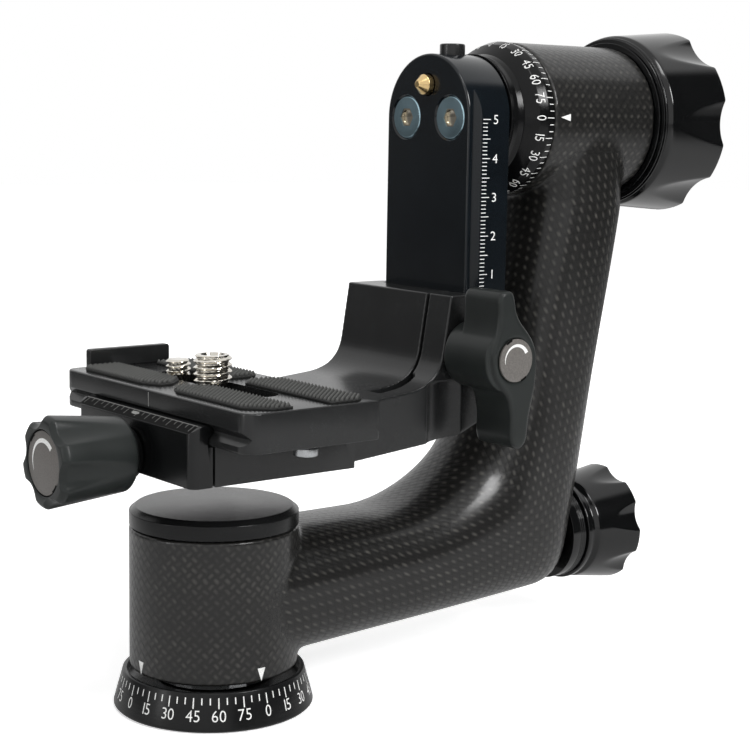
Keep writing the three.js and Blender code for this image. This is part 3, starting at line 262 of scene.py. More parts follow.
def carbon_weave():
    """Woven carbon under a clear coat. The mesh's attribute weave holds the place in it, in millimetres."""
    material, tree, shader = node_tree("carbon_weave")
    place = add(tree, "Attribute", attribute_name="weave").outputs["Vector"]
    threads = add(tree, "TexNoise", place, Scale=0.35, Detail=2.0).outputs["Color"]
    wobbled = add(tree, "VectorMath", threads, (0.6, 0.6, 0), place, operation="MULTIPLY_ADD")
    parts = add(tree, "SeparateXYZ", wobbled.outputs["Vector"]).outputs
    cells, crowns = [], []
    for axis in ("X", "Y"):
        across = calc("DIVIDE", parts[axis], TOW)
        cells.append(calc("FLOOR", across))
        centred = calc("SUBTRACT", calc("FRACT", across), 0.5)
        crowns.append(calc("MULTIPLY_ADD", calc("MULTIPLY", centred, centred), -4.0, 1.0))
    odd = calc("FLOORED_MODULO", calc("ADD", *cells), 2.0)
    even = calc("SUBTRACT", 1.0, odd)
    first, second = (calc("MULTIPLY", crowns[1 - k], calc("MULTIPLY_ADD", crowns[k], 0.45, 0.55))
                     for k in (0, 1))
    height = calc("MULTIPLY_ADD", calc("SUBTRACT", first, second), odd, second)
    # Painted glint in the base colour: the tows that run one way glint as dots. Where the third coordinate is
    # high, both ways glint as strokes.
    dot = calc("MULTIPLY", odd, calc("POWER", calc("MULTIPLY", *crowns), 1.6))
    strokes = []
    for k, share in ((0, even), (1, odd)):
        ends = calc("POWER", crowns[1 - k], 0.5)
        stroke = calc("MULTIPLY", calc("POWER", crowns[k], 3.0), ends)
        strokes.append(calc("MULTIPLY", stroke, share))
    stroke = calc("MULTIPLY", calc("ADD", *strokes), 0.6)
    glint = calc("MULTIPLY_ADD", calc("SUBTRACT", stroke, dot), parts["Z"], dot)
    patchy = calc("MULTIPLY", noise(place, 0.42, 1.0), 1.2)
    clouded = calc("MULTIPLY_ADD", noise(place, 0.07, 3.0), 1.3, 0.25)
    uneven = calc("MAXIMUM", calc("MULTIPLY", patchy, clouded), 0.15)
    speck_and_glint = calc("MULTIPLY_ADD", noise(place, 3.5, 2.0), 0.16, calc("MULTIPLY", glint, uneven))
    # A dark field, lighter where the painted glint and the random specks fall.
    colour = ramp(speck_and_glint, (0.0, (0.005, 0.005, 0.0048)), (0.22, (0.0105, 0.0102, 0.0096)),
                  (1.0, (0.07, 0.067, 0.06)))
    fill(shader, Base_Color=colour, Roughness=0.45, Specular_IOR_Level=0.1, Coat_Weight=0.6,
         Coat_Roughness=0.21)
    bumped(shader, height, 0.7, 0.15)
    return material


def dull(name, colour, roughness, scale, depth=0.004, hollow_shade=None, level=0.3):
    """Rubber, paint or print with a fine grain. Between the two heights in worn it grows lighter upwards:
    painted shade, darkest in the hollows at the lower height.
    """
    material, tree, shader = node_tree(name)
    place = add(tree, "TexCoord").outputs["Object"]
    grain = noise(place, scale, 4.0)
    tint = two_tones(grain, colour, 0.8, 1.15)
    if hollow_shade:
        # Painted shade: darker downwards, towards the hollows.
        rise = add(tree, "SeparateXYZ", place).outputs["Z"]
        tint = scaled(tint, remap(rise, hollow_shade[0] * MM, hollow_shade[1] * MM, 0.1, 1.0))
    fill(shader, Base_Color=tint, Roughness=roughness, Specular_IOR_Level=level)
    bumped(shader, grain, 0.4, depth)
    return material


BLACK = metal("anodised_black", (0.0115, 0.0119, 0.0121), 0.25, 0.36)
DEEP = metal("anodised_deep_black", (0.0035, 0.0038, 0.004), 0.22, 0.35)
TURNED_Z = metal("anodised_turned_z", (0.0065, 0.0067, 0.0069), 0.24, 0.2, lathe="Z")
TURNED_X = metal("anodised_turned_x", (0.0035, 0.0036, 0.0038), 0.16, 0.2, lathe="X")
NAVY = metal("anodised_rail", (0.0026, 0.0044, 0.0062), 0.17, 0.4, depth=0.006)
GLOSS = metal("anodised_gloss", (0.0022, 0.0024, 0.0026), 0.12, 0.45, depth=0.003)
CHARCOAL = metal("anodised_charcoal", (0.015, 0.0172, 0.0166), 0.34, 0.24)
STEEL = metal("turned_steel", (0.42, 0.43, 0.44), 0.28, 0.5, 1.0)
ZINC = metal("zinc_plate", (0.31, 0.44, 0.5), 0.2, 0.5, 1.0, spread=0.3)
BRASS = metal("turned_brass", (0.72, 0.52, 0.25), 0.22, 0.5, 1.0)
BRONZE = metal("socket_bronze", (0.5, 0.46, 0.38), 0.1, 0.5, 1.0)
NICKEL = metal("nickel_plate", (0.66, 0.63, 0.57), 0.14, 0.5, 1.0, depth=0.004)
# The pads get painted shade, darkest down in the hollows between their pyramids.
RUBBER = dull("pad_rubber", (0.1, 0.101, 0.097), 0.6, 2600.0, 0.03, hollow_shade=(80.65, 81.45))
LABEL = dull("label_grey", (0.115, 0.107, 0.1), 0.4, 3000.0, 0.01)
# A black for sheets of painted shade: in the discs' notch cuts and on the jaw's bevel under the plate.
SHADE_BLACK = dull("painted_shade_black", (0.003, 0.003, 0.003), 0.6, 3000.0, level=0.05)
PAINT = dull("scale_paint", (0.72, 0.72, 0.71), 0.55, 4000.0)
GREY_PAINT = dull("faded_paint", (0.3, 0.3, 0.29), 0.55, 4000.0)
DIM_PAINT = dull("engraved_line", (0.17, 0.17, 0.165), 0.55, 4000.0)
CARBON = carbon_weave()


# Meshes
REPLACED = set()


def round_point(radius, angle):
    return (radius * math.cos(angle), radius * math.sin(angle))


def circle(radius, sides):
    return [round_point(radius, TURN * i / sides) for i in range(sides)]


def finished(name, mesh, material, node=None, body=None, sharp=32.0):
    """Makes the object of a mesh. It stands for a node and rides on the node's body, or on a named one."""
    mesh.polygons.foreach_set("use_smooth", [True] * len(mesh.polygons))
    mesh.set_sharp_from_angle(angle=math.radians(sharp))
    mesh.materials.clear()
    mesh.materials.append(material)
    piece = bpy.data.objects.new(name, mesh)
    scene.collection.objects.link(piece)
    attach(piece, body or BODY[node])
    if node:
        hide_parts(node)
        REPLACED.add(node)


def mesh_of(points, faces):
    mesh = bpy.data.meshes.new("mesh")
    mesh.from_pydata([tuple(c * MM for c in point) for point in points], [], faces)
    work = bmesh.new()
    work.from_mesh(mesh)
    bmesh.ops.remove_doubles(work, verts=work.verts, dist=1e-7)
    bmesh.ops.recalc_face_normals(work, faces=work.faces)
    work.to_mesh(mesh)
    work.free()
    return mesh


def soften(points, size, closed=True, steps=3):
    """Rounds the corners of an outline, or of an open path. size is one length, or one for each corner."""
    count = len(points)
    sizes = [size] * count if isinstance(size, (int, float)) else size
    result = []
    for i, point in enumerate(points):
        if not closed and i in (0, count - 1) or sizes[i] == 0:
            result.append(tuple(point))
            continue
        here = Vector(point)
        before = Vector(points[i - 1]) - here
        after = Vector(points[(i + 1) % count]) - here
        reach = min(sizes[i], before.length * 0.45, after.length * 0.45)
        start = here + before.normalized() * reach
        end = here + after.normalized() * reach
        for k in range(steps + 1):
            t = k / steps
            result.append(tuple(start * (1 - t) ** 2 + here * (2 * t * (1 - t)) + end * t ** 2))
    return result


def lathe(profile, axis="Z", origin=(0, 0, 0), edge=0.3, sides=96):
    """A turned mesh of (radius, height) pairs. The profile closes itself when it stays off the axis."""
    ring = profile[0][0] > 0
    outline = soften(profile, edge, closed=ring) if edge else profile
    points, rows = [], []
    for radius, height in outline:
        row = []
        for c, s in circle(radius, sides)[:1 if radius < 1e-6 else sides]:
            point = {"X": (height, c, s), "Y": (c, -height, s), "Z": (c, s, height)}[axis]
            row.append(len(points))
            points.append(tuple(p + o for p, o in zip(point, origin)))
        rows.append(row)
    faces = []
    for low, high in list(zip(rows, rows[1:])) + ([(rows[-1], rows[0])] if ring else []):
        for i in range(sides):
            j = (i + 1) % sides
            corners = [low[i % len(low)], low[j % len(low)], high[j % len(high)], high[i % len(high)]]
            unique = list(dict.fromkeys(corners))
            if len(unique) > 2:
                faces.append(unique)
    return mesh_of(points, faces)


def rod(radius, low, high, axis="Z", origin=(0, 0, 0), sides=64):
    return lathe([(0, low), (radius, low), (radius, high), (0, high)], axis, origin, 0, sides)


def inset(outline, distance):
    """The outline moved inwards by a small distance. The outline runs anticlockwise."""
    result = []
    for i, here in enumerate(outline):
        before = (Vector(here) - Vector(outline[i - 1])).normalized()
        after = (Vector(outline[(i + 1) % len(outline)]) - Vector(here)).normalized()
        normal = Vector((-before.y - after.y, before.x + after.x)) / 2
        result.append(tuple(Vector(here) + normal / max(normal.length, 0.3) ** 2 * distance))
    return result


def area_of(outline):
    return sum(a[0] * b[1] - b[0] * a[1] for a, b in zip(outline, outline[1:] + outline[:1])) / 2


def grid_mesh(rows):
    """A closed mesh through rings of points, with a flat face over the first and the last ring."""
    sides = len(rows[0])
    last = (len(rows) - 1) * sides
    faces = [list(range(sides)), list(range(last, last + sides))]
    for start in range(0, last, sides):
        for i in range(sides):
            j = (i + 1) % sides
            faces.append([start + i, start + j, start + sides + j, start + sides + i])
    return mesh_of([point for row in rows for point in row], faces)


def slab(outline, low, high, plane="XY", edge=0.0, steps=3):
    """An outline raised between two limits along the third axis, with rims rounded by the edge."""
    if area_of(outline) < 0:
        outline = outline[::-1]
    levels = [(0, low), (0, high)]
    if edge:
        angles = [TURN / 4 * k / steps for k in range(steps + 1)]
        levels = [(edge * (1 - math.sin(a)), low + edge * (1 - math.cos(a))) for a in angles]
        levels += [(distance, low + high - height) for distance, height in reversed(levels)]
    rows = []
    for distance, height in levels:
        ring = inset(outline, distance) if distance else outline
        rows.append([{"XY": (u, v, height), "XZ": (u, height, v), "YZ": (height, u, v)}[plane]
                     for u, v in ring])
    return grid_mesh(rows)


def box_mesh(x, y, z):
    return slab([(x[0], y[0]), (x[1], y[0]), (x[1], y[1]), (x[0], y[1])], *z)


def hexagon(flats):
    """flats is half the width across two flat sides."""
    return circle(flats / math.cos(TURN / 12), 6)


def applied(piece):
    """The mesh of a scratch object with its modifiers applied. The object is removed."""
    bpy.context.view_layer.update()
    graph = bpy.context.evaluated_depsgraph_get()
    mesh = bpy.data.meshes.new_from_object(piece.evaluated_get(graph))
    bpy.data.objects.remove(piece)
    return mesh


def scratch(mesh):
    piece = bpy.data.objects.new("scratch", mesh)
    scene.collection.objects.link(piece)
    return piece


def modify(piece, kind, **settings):
    modifier = piece.modifiers.new(kind.lower(), kind)
    for key, value in settings.items():
        setattr(modifier, key, value)


def combined(mesh, others, operation="DIFFERENCE"):
    piece = scratch(mesh)
    tools = [scratch(other) for other in others]
    for tool in tools:
        modify(piece, "BOOLEAN", operation=operation, object=tool, solver="MANIFOLD")
    result = applied(piece)
    for tool in tools:
        bpy.data.objects.remove(tool)
    return result


def rounded_all(mesh, voxel, smoothing):
    """Remeshes a joined form finely and smooths it, so that every edge and inner corner is rounded."""
    piece = scratch(mesh)
    modify(piece, "REMESH", mode="VOXEL", voxel_size=voxel * MM)
    modify(piece, "SMOOTH", factor=0.5, iterations=smoothing)
    return applied(piece)


def moved(mesh, x, y, z):
    mesh.transform(Matrix.Translation(Vector((x, y, z)) * MM))
    return mesh


def turned_part(name, node, material, profile, axis="Z", origin=(0, 0, 0), edge=0.25, sides=128):
    finished(name, lathe(profile, axis, origin, edge, sides), material, node)


# Marks: digits and lines as thin painted sheets that follow a surface
DIGIT_WIDTH = 0.95
QUAD = [(0, 1, 2, 3)]


def digit_shapes():
    """Each digit as a flat mesh of points and faces, 1 tall, drawn with the built-in face and narrowed."""
    shapes = {}
    for digit in "0123456789":
        curve = bpy.data.curves.new("digit", "FONT")
        curve.body = digit
        curve.resolution_u = 4
        curve.offset = -0.005
        mesh = applied(scratch(curve))
        co = np.array([v.co[:2] for v in mesh.vertices])
        low, high = co.min(0), co.max(0)
        height = high[1] - low[1]
        middle = (low[0] + high[0]) / 2
        flat = [((x - middle) / height * DIGIT_WIDTH, (y - low[1]) / height - 0.5) for x, y in co]
        faces = [tuple(p.vertices) for p in mesh.polygons]
        shapes[digit] = (flat, faces, (high[0] - low[0]) / height * DIGIT_WIDTH)
    return shapes


DIGITS = digit_shapes()


def number_mark(text, height, u, v, wide=1.0):
    """Points and faces of a number centred at (u, v) in a flat plane."""
    spacing = 0.14 * height
    widths = [DIGITS[c][2] * height * wide for c in text]
    at = u - (sum(widths) + spacing * (len(text) - 1)) / 2
    points, faces = [], []
    for character, width in zip(text, widths):
        flat, shapes, _ = DIGITS[character]
        start = len(points)
        points += [(at + width / 2 + x * height * wide, v + y * height) for x, y in flat]
        faces += [tuple(start + i for i in face) for face in shapes]
        at += width + spacing
    return points, faces


def line_mark(u, v0, v1, width):
    w = width / 2
    return [(u - w, v0), (u + w, v0), (u + w, v1), (u - w, v1)], QUAD


def dial_marks(radius, shift, short, long, top, width, height, middle):
    """A dial unrolled at a radius: a line every 5 degrees, and a longer one with its number every 15."""
    marks = []
    for degrees in range(-180, 180, 5):
        u = math.radians(degrees) * radius - shift
        numbered = degrees % 15 == 0
        marks.append(line_mark(u, long if numbered else short, top, width))
        if numbered:
            marks.append(number_mark(str(degrees % 90), height, u, middle))
    return marks


def painted(name, marks, surface, body, material=PAINT, step=0.0):
    """marks are flat sheets, and surface maps (u, v) to a point in space. A step cuts them finely first."""
    work = bmesh.new()
    for flat, shapes in marks:
        corners = [work.verts.new((u, v, 0)) for u, v in flat]
        for shape in shapes:
            work.faces.new([corners[i] for i in shape])
    if step:
        places = [(v.co.x, v.co.y) for v in work.verts]
        for axis, normal in ((0, (1, 0, 0)), (1, (0, 1, 0))):
            low, high = min(p[axis] for p in places), max(p[axis] for p in places)
            for k in range(math.ceil(low / step), math.floor(high / step) + 1):
                everything = [*work.verts, *work.edges, *work.faces]
                point = [c * k * step for c in normal]
                bmesh.ops.bisect_plane(work, geom=everything, plane_co=point, plane_no=normal, dist=1e-5)
    for vertex in work.verts:
        vertex.co = Vector(surface(vertex.co.x, vertex.co.y)) * MM
    mesh = bpy.data.meshes.new(name)
    work.to_mesh(mesh)
    work.free()
    finished(name, mesh, material, body=body)


# Arm: cylinder, tube, bend, upright and tilt housing in woven carbon
TILT = 145.4
PAN_KNOB = (0, 0, 28)
CYLINDER = 20.9
HOUSING = 20.5


def line(a, b):
    return lambda t: (a[0] + (b[0] - a[0]) * t, a[1] + (b[1] - a[1]) * t)


def smooth_path(points, reach, steps=24):
    """A path through straight lines whose corner is rounded, taken at even lengths."""
    outline = soften(points, reach, False, steps)
    lengths = [0.0]
    for a, b in zip(outline, outline[1:]):
        lengths.append(lengths[-1] + math.dist(a, b))

    def at(t):
        target = t * lengths[-1]
        for i, (a, b) in enumerate(zip(outline, outline[1:])):
            if target <= lengths[i + 1] or i == len(outline) - 2:
                return line(a, b)((target - lengths[i]) / (lengths[i + 1] - lengths[i]))

    return at


def tube_stations(counts):
    """Stations of the tube: a point of its inner edge, one of its outer edge and half its width."""
    top, bend_radius, bend_start = 43.3, 41.6, 46.8
    lean = math.radians(9.6)
    corner_x, corner_z, reach = 110.6, 14.8, 9.5
    bottom, outer_top, inner_top = 10.5, (128, 121), 124
    slope = (outer_top[0] - corner_x) / (outer_top[1] - corner_z)
    rise = (corner_z - bottom) / corner_x
    centre_z = top + bend_radius
    end = (bend_start + bend_radius * math.cos(lean), centre_z - bend_radius * math.sin(lean))
    upright_x = end[0] + (inner_top - end[1]) * math.tan(lean)

    def bend(t):
        angle = -TURN / 4 + (TURN / 4 - lean) * t
        return (bend_start + bend_radius * math.cos(angle), centre_z + bend_radius * math.sin(angle))

    inner = [line((0, top), (bend_start, top)), bend, line(end, (upright_x, inner_top)),
             line((upright_x, inner_top), (upright_x, TILT))]
    start = (bend_start, bottom + rise * bend_start)
    bend_end = (corner_x + (64 - corner_z) * slope, 64)
    outer = [line((0, bottom), start), smooth_path([start, (corner_x, corner_z), bend_end], reach),
             line(bend_end, outer_top), line(outer_top, (outer_top[0], TILT))]
    widths = [20, 18.6, 18.2, 19.8, 19.8]
    stations = []
    for leg, count in enumerate(counts):
        for i in range(0 if leg == 0 else 1, count + 1):
            t = i / count
            s = t * t * (3 - 2 * t)
            stations.append((inner[leg](t), outer[leg](t), widths[leg] + (widths[leg + 1] - widths[leg]) * s))
    return stations


def tube_grid(counts, sides, wall=0.0, roundness=2.5):
    """Points of the tube's skin, or further in by the wall. Each station's row starts on the far side, at +Y.

    The section is round when roundness is 2, and squarer above.
    """
    rows = []
    for inner, outer, half_width in tube_stations(counts):
        inner, outer = np.array(inner), np.array(outer)
        middle, reach = (inner + outer) / 2, (inner - outer) / 2
        shrink = 1 - wall / np.linalg.norm(reach)
        row = []
        for i in range(sides):
            angle = TURN * (i / sides + 0.25)
            c, s = math.cos(angle), math.sin(angle)
            along = math.copysign(abs(c) ** (2 / roundness), c) * shrink
            across = math.copysign(abs(s) ** (2 / roundness), s) * (half_width - wall)
            row.append((middle[0] + reach[0] * along, across, middle[1] + reach[1] * along))
        rows.append(row)
    return np.array(rows)


def search_tree(points):
    tree = KDTree(len(points))
    for index, point in enumerate(points):
        tree.insert(point, index)
    tree.balance()
    return tree


def weave_places(mesh, grid):
    """Gives each point its place in the weave: along and round the tube, or along and round a cylinder."""
    count, sides = grid.shape[:2]
    closed = np.concatenate([grid, grid[:, :1]], axis=1)
    along = np.zeros((count, sides + 1))
    along[1:] = np.cumsum(np.linalg.norm(np.diff(closed, axis=0), axis=2), axis=0)
    along -= along[count // 2]
    around = np.zeros((count, sides + 1))
    around[:, 1:] = np.cumsum(np.linalg.norm(np.diff(closed, axis=1), axis=2), axis=1)
    around -= around[:, sides // 2][:, None]
    flat = closed.reshape(-1, 3)
    tree = search_tree(flat)
    co = np.zeros(len(mesh.vertices) * 3, np.float32)
    mesh.vertices.foreach_get("co", co)
    co = co.reshape(-1, 3) / MM
    x, y, z = co.T
    nearest = [tree.find(point) for point in co]
    index = np.array([n[1] for n in nearest])
    distance = np.array([n[2] for n in nearest])
    # The offset from the nearest point of the grid, as steps s and t along its rows and columns
    offset = co - flat[index]
    pi, pj = (np.gradient(closed, axis=k).reshape(-1, 3)[index] for k in (0, 1))
    ii, jj, ij = (pi * pi).sum(1), (pj * pj).sum(1), (pi * pj).sum(1)
    oi, oj = (offset * pi).sum(1), (offset * pj).sum(1)
    det = np.maximum(ii * jj - ij * ij, 1e-9)
    s = (oi * jj - oj * ij) / det
    t = (oj * ii - oi * ij) / det
    u, v = (values.ravel()[index] + s * by_row.ravel()[index] + t * by_column.ravel()[index]
            for values, (by_row, by_column) in ((along, np.gradient(along)), (around, np.gradient(around))))
    off_cylinder = np.abs(np.hypot(x, y) - CYLINDER)
    off_housing = np.abs(np.hypot(y, z - TILT) - HOUSING)
    on_cylinder = (off_cylinder < 0.35) & ((distance > 0.9) | (x < 0)) & (z < 46)
    on_housing = (off_housing < 1.2) & (z > 137) & (x > 90)
    on_housing |= (off_housing < 0.35) & (distance > 0.9) & (x > 90)
    u = np.where(on_cylinder, z, u)
    v = np.where(on_cylinder, np.arctan2(-x + 0.7 * y, -y - 0.7 * x) * CYLINDER, v)
    u = np.where(on_housing, x, u)
    v = np.where(on_housing, np.arctan2(z - TILT, -y) * HOUSING, v)
    diagonal = math.sqrt(0.5)
    # The third coordinate: how much of the painted glint falls as strokes rather than dots.
    strokes = np.where(on_cylinder, 0.9, np.where(on_housing, 0.6, 0.2))
    place = np.stack([(u + v) * diagonal, (u - v) * diagonal, strokes], axis=1)
    attribute = mesh.attributes.new("weave", "FLOAT_VECTOR", "POINT")
    attribute.data.foreach_set("vector", place.astype(np.float32).ravel())


def junction_weights(piece, grid, reach=5):
    """A vertex group that is strong near the lines where the tube meets the cylinder and the housing."""
    flat = grid.reshape(-1, 3)
    x, y, z = flat.T
    near_cylinder = np.abs(np.hypot(x, y) - CYLINDER) < 0.6
    near_housing = (np.abs(np.hypot(y, z - TILT) - HOUSING) < 0.6) & (z > 110)
    tree = search_tree(flat[near_cylinder | near_housing])
    group = piece.vertex_groups.new(name="junction")
    for vertex in piece.data.vertices:
        x, y, z = vertex.co / MM
        on_rim = z < 10.4 or 45.1 < z < 60 or x > 130.7 or (x < 93.4 and z > 100)
        distance = tree.find((x, y, z))[2]
        if distance < reach and not on_rim:
            group.add([vertex.index], 1 - distance / reach, "REPLACE")


def make_arm():
    housing = ("X", (0, 0, TILT), 96)
    keep_out = box_mesh((16, 140), (-30, 30), (-5, 150))
    inside = combined(grid_mesh(tube_grid((4, 16, 8, 4), 32, wall=2.6)), [keep_out], "INTERSECT")
    whole = combined(grid_mesh(tube_grid((6, 36, 16, 6), 64)), [
        rod(CYLINDER, 10.1, 45.35, sides=96), rod(HOUSING, 93.1, 131, *housing)], "UNION")
    sleeve_hole = [(0, 98.7), (9.3, 98.7), (9.3, 111.7), (13.9, 111.7), (13.9, 125), (0, 125)]
    whole = combined(whole, [rod(18.9, 0, 50, sides=96), rod(18.5, 80, 140, *housing), inside,
                             lathe(sleeve_hole, "X", PAN_KNOB, 0, 64)])
    piece = scratch(rounded_all(whole, 0.5, 6))
    junction_weights(piece, tube_grid((60, 60, 60, 30), 160))
    modify(piece, "SMOOTH", vertex_group="junction", factor=0.9, iterations=24)
    mesh = applied(piece)
    weave_places(mesh, tube_grid((20, 90, 50, 14), 120))
    finished("arm_of_woven_carbon", mesh, CARBON, "carbon_arm", sharp=60)


make_arm()

# Base ring, cap and the turned parts of the arm
LIFT = 0.03
POINTER_LIFT = 0.04
PAN_SCALE_RADIUS = 24
TILT_SCALE_RADIUS = 20


def upright_surface(radius_at, unrolled):
    """A surface round the base's axis. u runs round it at the unrolled radius, and v is the height."""
    def surface(u, v):
        radius = radius_at(v)
        return (radius * math.sin(u / unrolled), -radius * math.cos(u / unrolled), v)

    return surface


def ring_radius(z):
    """The radius of the pan scale at a height on the ring's cone."""
    return 24.9 + (22.55 - 24.9) * (z - 0.63) / (9.18 - 0.63) + LIFT


def make_base():
    profile = [(6.7, 0), (24.3, 0), (24.9, 0.63), (22.55, 9.18), (21.5, 9.18), (21.5, 7), (6.7, 7)]
    hole = [(0, -2), (3.6, -2), (3.6, 4.1), (1.8, 4.1), (1.8, 9), (0, 9)]
    holes = [lathe(hole, "Z", (*middle, 0), 0, 32) for middle in circle(11, 3)]
    ring = combined(lathe(profile, edge=0.25, sides=128), holes)
    finished("graduated_base_ring", ring, TURNED_Z, "base_ring")
    marks = dial_marks(PAN_SCALE_RADIUS, 0, 6.55, 5.65, 8.1, 0.3, 2.6, 4.0)
    painted("pan_scale", marks, upright_surface(ring_radius, PAN_SCALE_RADIUS), "base", step=0.8)
    cap = [(0, 44.35), (15.5, 44.35), (15.5, 45.65), (20.9, 45.65), (20.9, 49.1), (19.4, 50.26), (0, 50.26)]
    turned_part("base_cylinder_cap", "base_cap", TURNED_Z, cap, edge=0.18)
    pointers = []
    for degrees in (-180, -90, 0):
        u = math.radians(degrees) * CYLINDER
        pointers.append(([(u - 1.1, 13.7), (u, 13.7), (u + 1.1, 13.7), (u, 10.4)], [(0, 1, 3), (1, 2, 3)]))
    painted("pan_pointers", pointers, upright_surface(lambda v: CYLINDER + POINTER_LIFT, CYLINDER), "arm")


make_base()


def make_tilt_side():
    place = (0, 0, TILT)
    shaft = [(0, 80.6), (17, 80.6), (16.5, 81.8), (16.45, 83.4), (17.1, 84.9), (16.4, 84.97), (13.2, 84.97),
             (13.2, 92.8), (8, 92.8), (8, 131.6), (6, 131.6), (6, 148), (0, 148)]
    turned_part("tilt_shaft_and_flange", "tilt_shaft", TURNED_X, shaft, "X", place)
    cone = [(16.4, 85), (19.7, 87.9), (20.6, 90.4), (20.3, 92.8)]
    dial = [(13.5, 85), *cone, (13.5, 92.8)]
    turned_part("graduated_tilt_dial", "tilt_dial", TURNED_X, dial, "X", place, 0.15)

    def dial_surface(u, v):
        radius = float(np.interp(v, [c[1] for c in cone], [c[0] for c in cone])) + 0.05
        angle = u / TILT_SCALE_RADIUS
        return (v, -radius * math.cos(angle), TILT - radius * math.sin(angle))

    marks = dial_marks(TILT_SCALE_RADIUS, 0.38, 90.9, 90.0, 92.5, 0.2, 2.2, 88.5)
    painted("tilt_scale", marks, dial_surface, "cradle", step=0.42)
    radius = HOUSING + POINTER_LIFT
    pointer = [([(94.8, 0), (98.4, -0.95), (98.4, 0.95)], [(0, 1, 2)])]
    painted("tilt_pointer", pointer, lambda u, v: (u, -radius * math.cos(v / radius), 146 + v), "arm",
            step=0.5)
    end_ring = [(6.3, 131.9), (8.3, 131.9), (8.3, 131.3), (21.9, 131.3), (21.9, 131.75), (21.4, 131.85),
                (21.4, 132.1), (23.0, 132.2), (23.0, 132.6), (22.6, 132.7), (23.4, 132.85), (23.4, 133.3),
                (6.3, 133.3)]
    turned_part("tilt_end_ring_turned", "tilt_end_ring", GLOSS, end_ring, "X", place, 0.2)
    sleeve = [(5.3, 99), (9, 99), (9, 112), (13.6, 112)]
    for x in (114.9, 115.6, 116.3):
        sleeve += [(13.6, x), (13.45, x + 0.12), (13.45, x + 0.22), (13.6, x + 0.34)]
    sleeve += [(13.6, 117.2), (5.3, 117.2)]
    turned_part("pan_sleeve_turned", "pan_sleeve", GLOSS, sleeve, "X", PAN_KNOB, 0.15)


make_tilt_side()

# Knobs
CLAMP_AXIS = 65.5


def subdivided(profile, step):
    result = [profile[0]]
    for a, b in zip(profile, profile[1:]):
        count = max(1, math.ceil(math.dist(a, b) / step))
        result += [line(a, b)(k / count) for k in range(1, count + 1)]
    return result


def knob_mesh(profile, length, chamfer, count, first, distance, shallow, deep, soft, start, height, way=1,
              sides=336):
    """A fluted knob along X, with its free end at +X when way is 1. The profile holds (radius, place) pairs.

    Its flutes are cylinders at a distance from the axis, the first at an angle in degrees. They grow from
    the shallow radius to the deep one. soft rounds the ridges between them.
    """
    rows = []
    for r, x in subdivided(soften(profile, 0.35, closed=False), 1.1):
        flute = shallow + (deep - shallow) * min(1, max(0, x / length))
        inward = max(0, x - (length - chamfer))
        row = []
        for i in range(sides):
            angle = TURN * i / sides
            near = (angle - math.radians(first) + math.pi / count) % (TURN / count) - math.pi / count
            side = distance * math.sin(near)
            limit = 1e3
            if abs(side) < flute:
                limit = distance * math.cos(near) - math.sqrt(flute ** 2 - side ** 2) - inward
            h = max(soft - abs(r - limit), 0) / soft
            radius = min(r, limit) - h * h * soft / 4 if r > 2 * soft else r
            row.append((start + way * x, -way * radius * math.cos(angle), height + radius * math.sin(angle)))
        rows.append(row)
    return grid_mesh(rows)


def arc_mark(radius, thin_end, thick_end, thickness, steps=40):
    """A crescent round (0, 0) that grows from nothing to its full thickness. Angles are in degrees."""
    outer, inner = [], []
    for k in range(steps + 1):
        share = k / steps
        angle = math.radians(thin_end + (thick_end - thin_end) * share)
        half = thickness / 2 * share ** 0.8 + 0.04
        outer.append(round_point(radius + half, angle))
        inner.append(round_point(radius - half, angle))
    count = steps + 1
    return outer + inner, [(k, k + 1, count + k + 1, count + k) for k in range(steps)]


def disc_marks(name, radius, turned, surface, body):
    """The arc arrow on a disc, and two black sheets at its rim: painted shade that stands for two notch cuts.
    """
    arc = arc_mark(radius * 0.7, 190 + turned, 28 + turned, radius * 0.17)
    painted(name + "_arc", [arc], surface, body)
    # Each notch cut is only painted shade: a black sheet across the rim.
    notch_shades = []
    for degrees in (118 + turned, -62 + turned):
        rim = [round_point(radius * share, math.radians(degrees + (k - 4) * 2.6))
               for share, order in ((1.05, range(9)), (0.95, range(8, -1, -1))) for k in order]
        notch_shades.append((rim, [(k, k + 1, 16 - k, 17 - k) for k in range(8)]))
    painted(name + "_notches", notch_shades, surface, body, SHADE_BLACK)


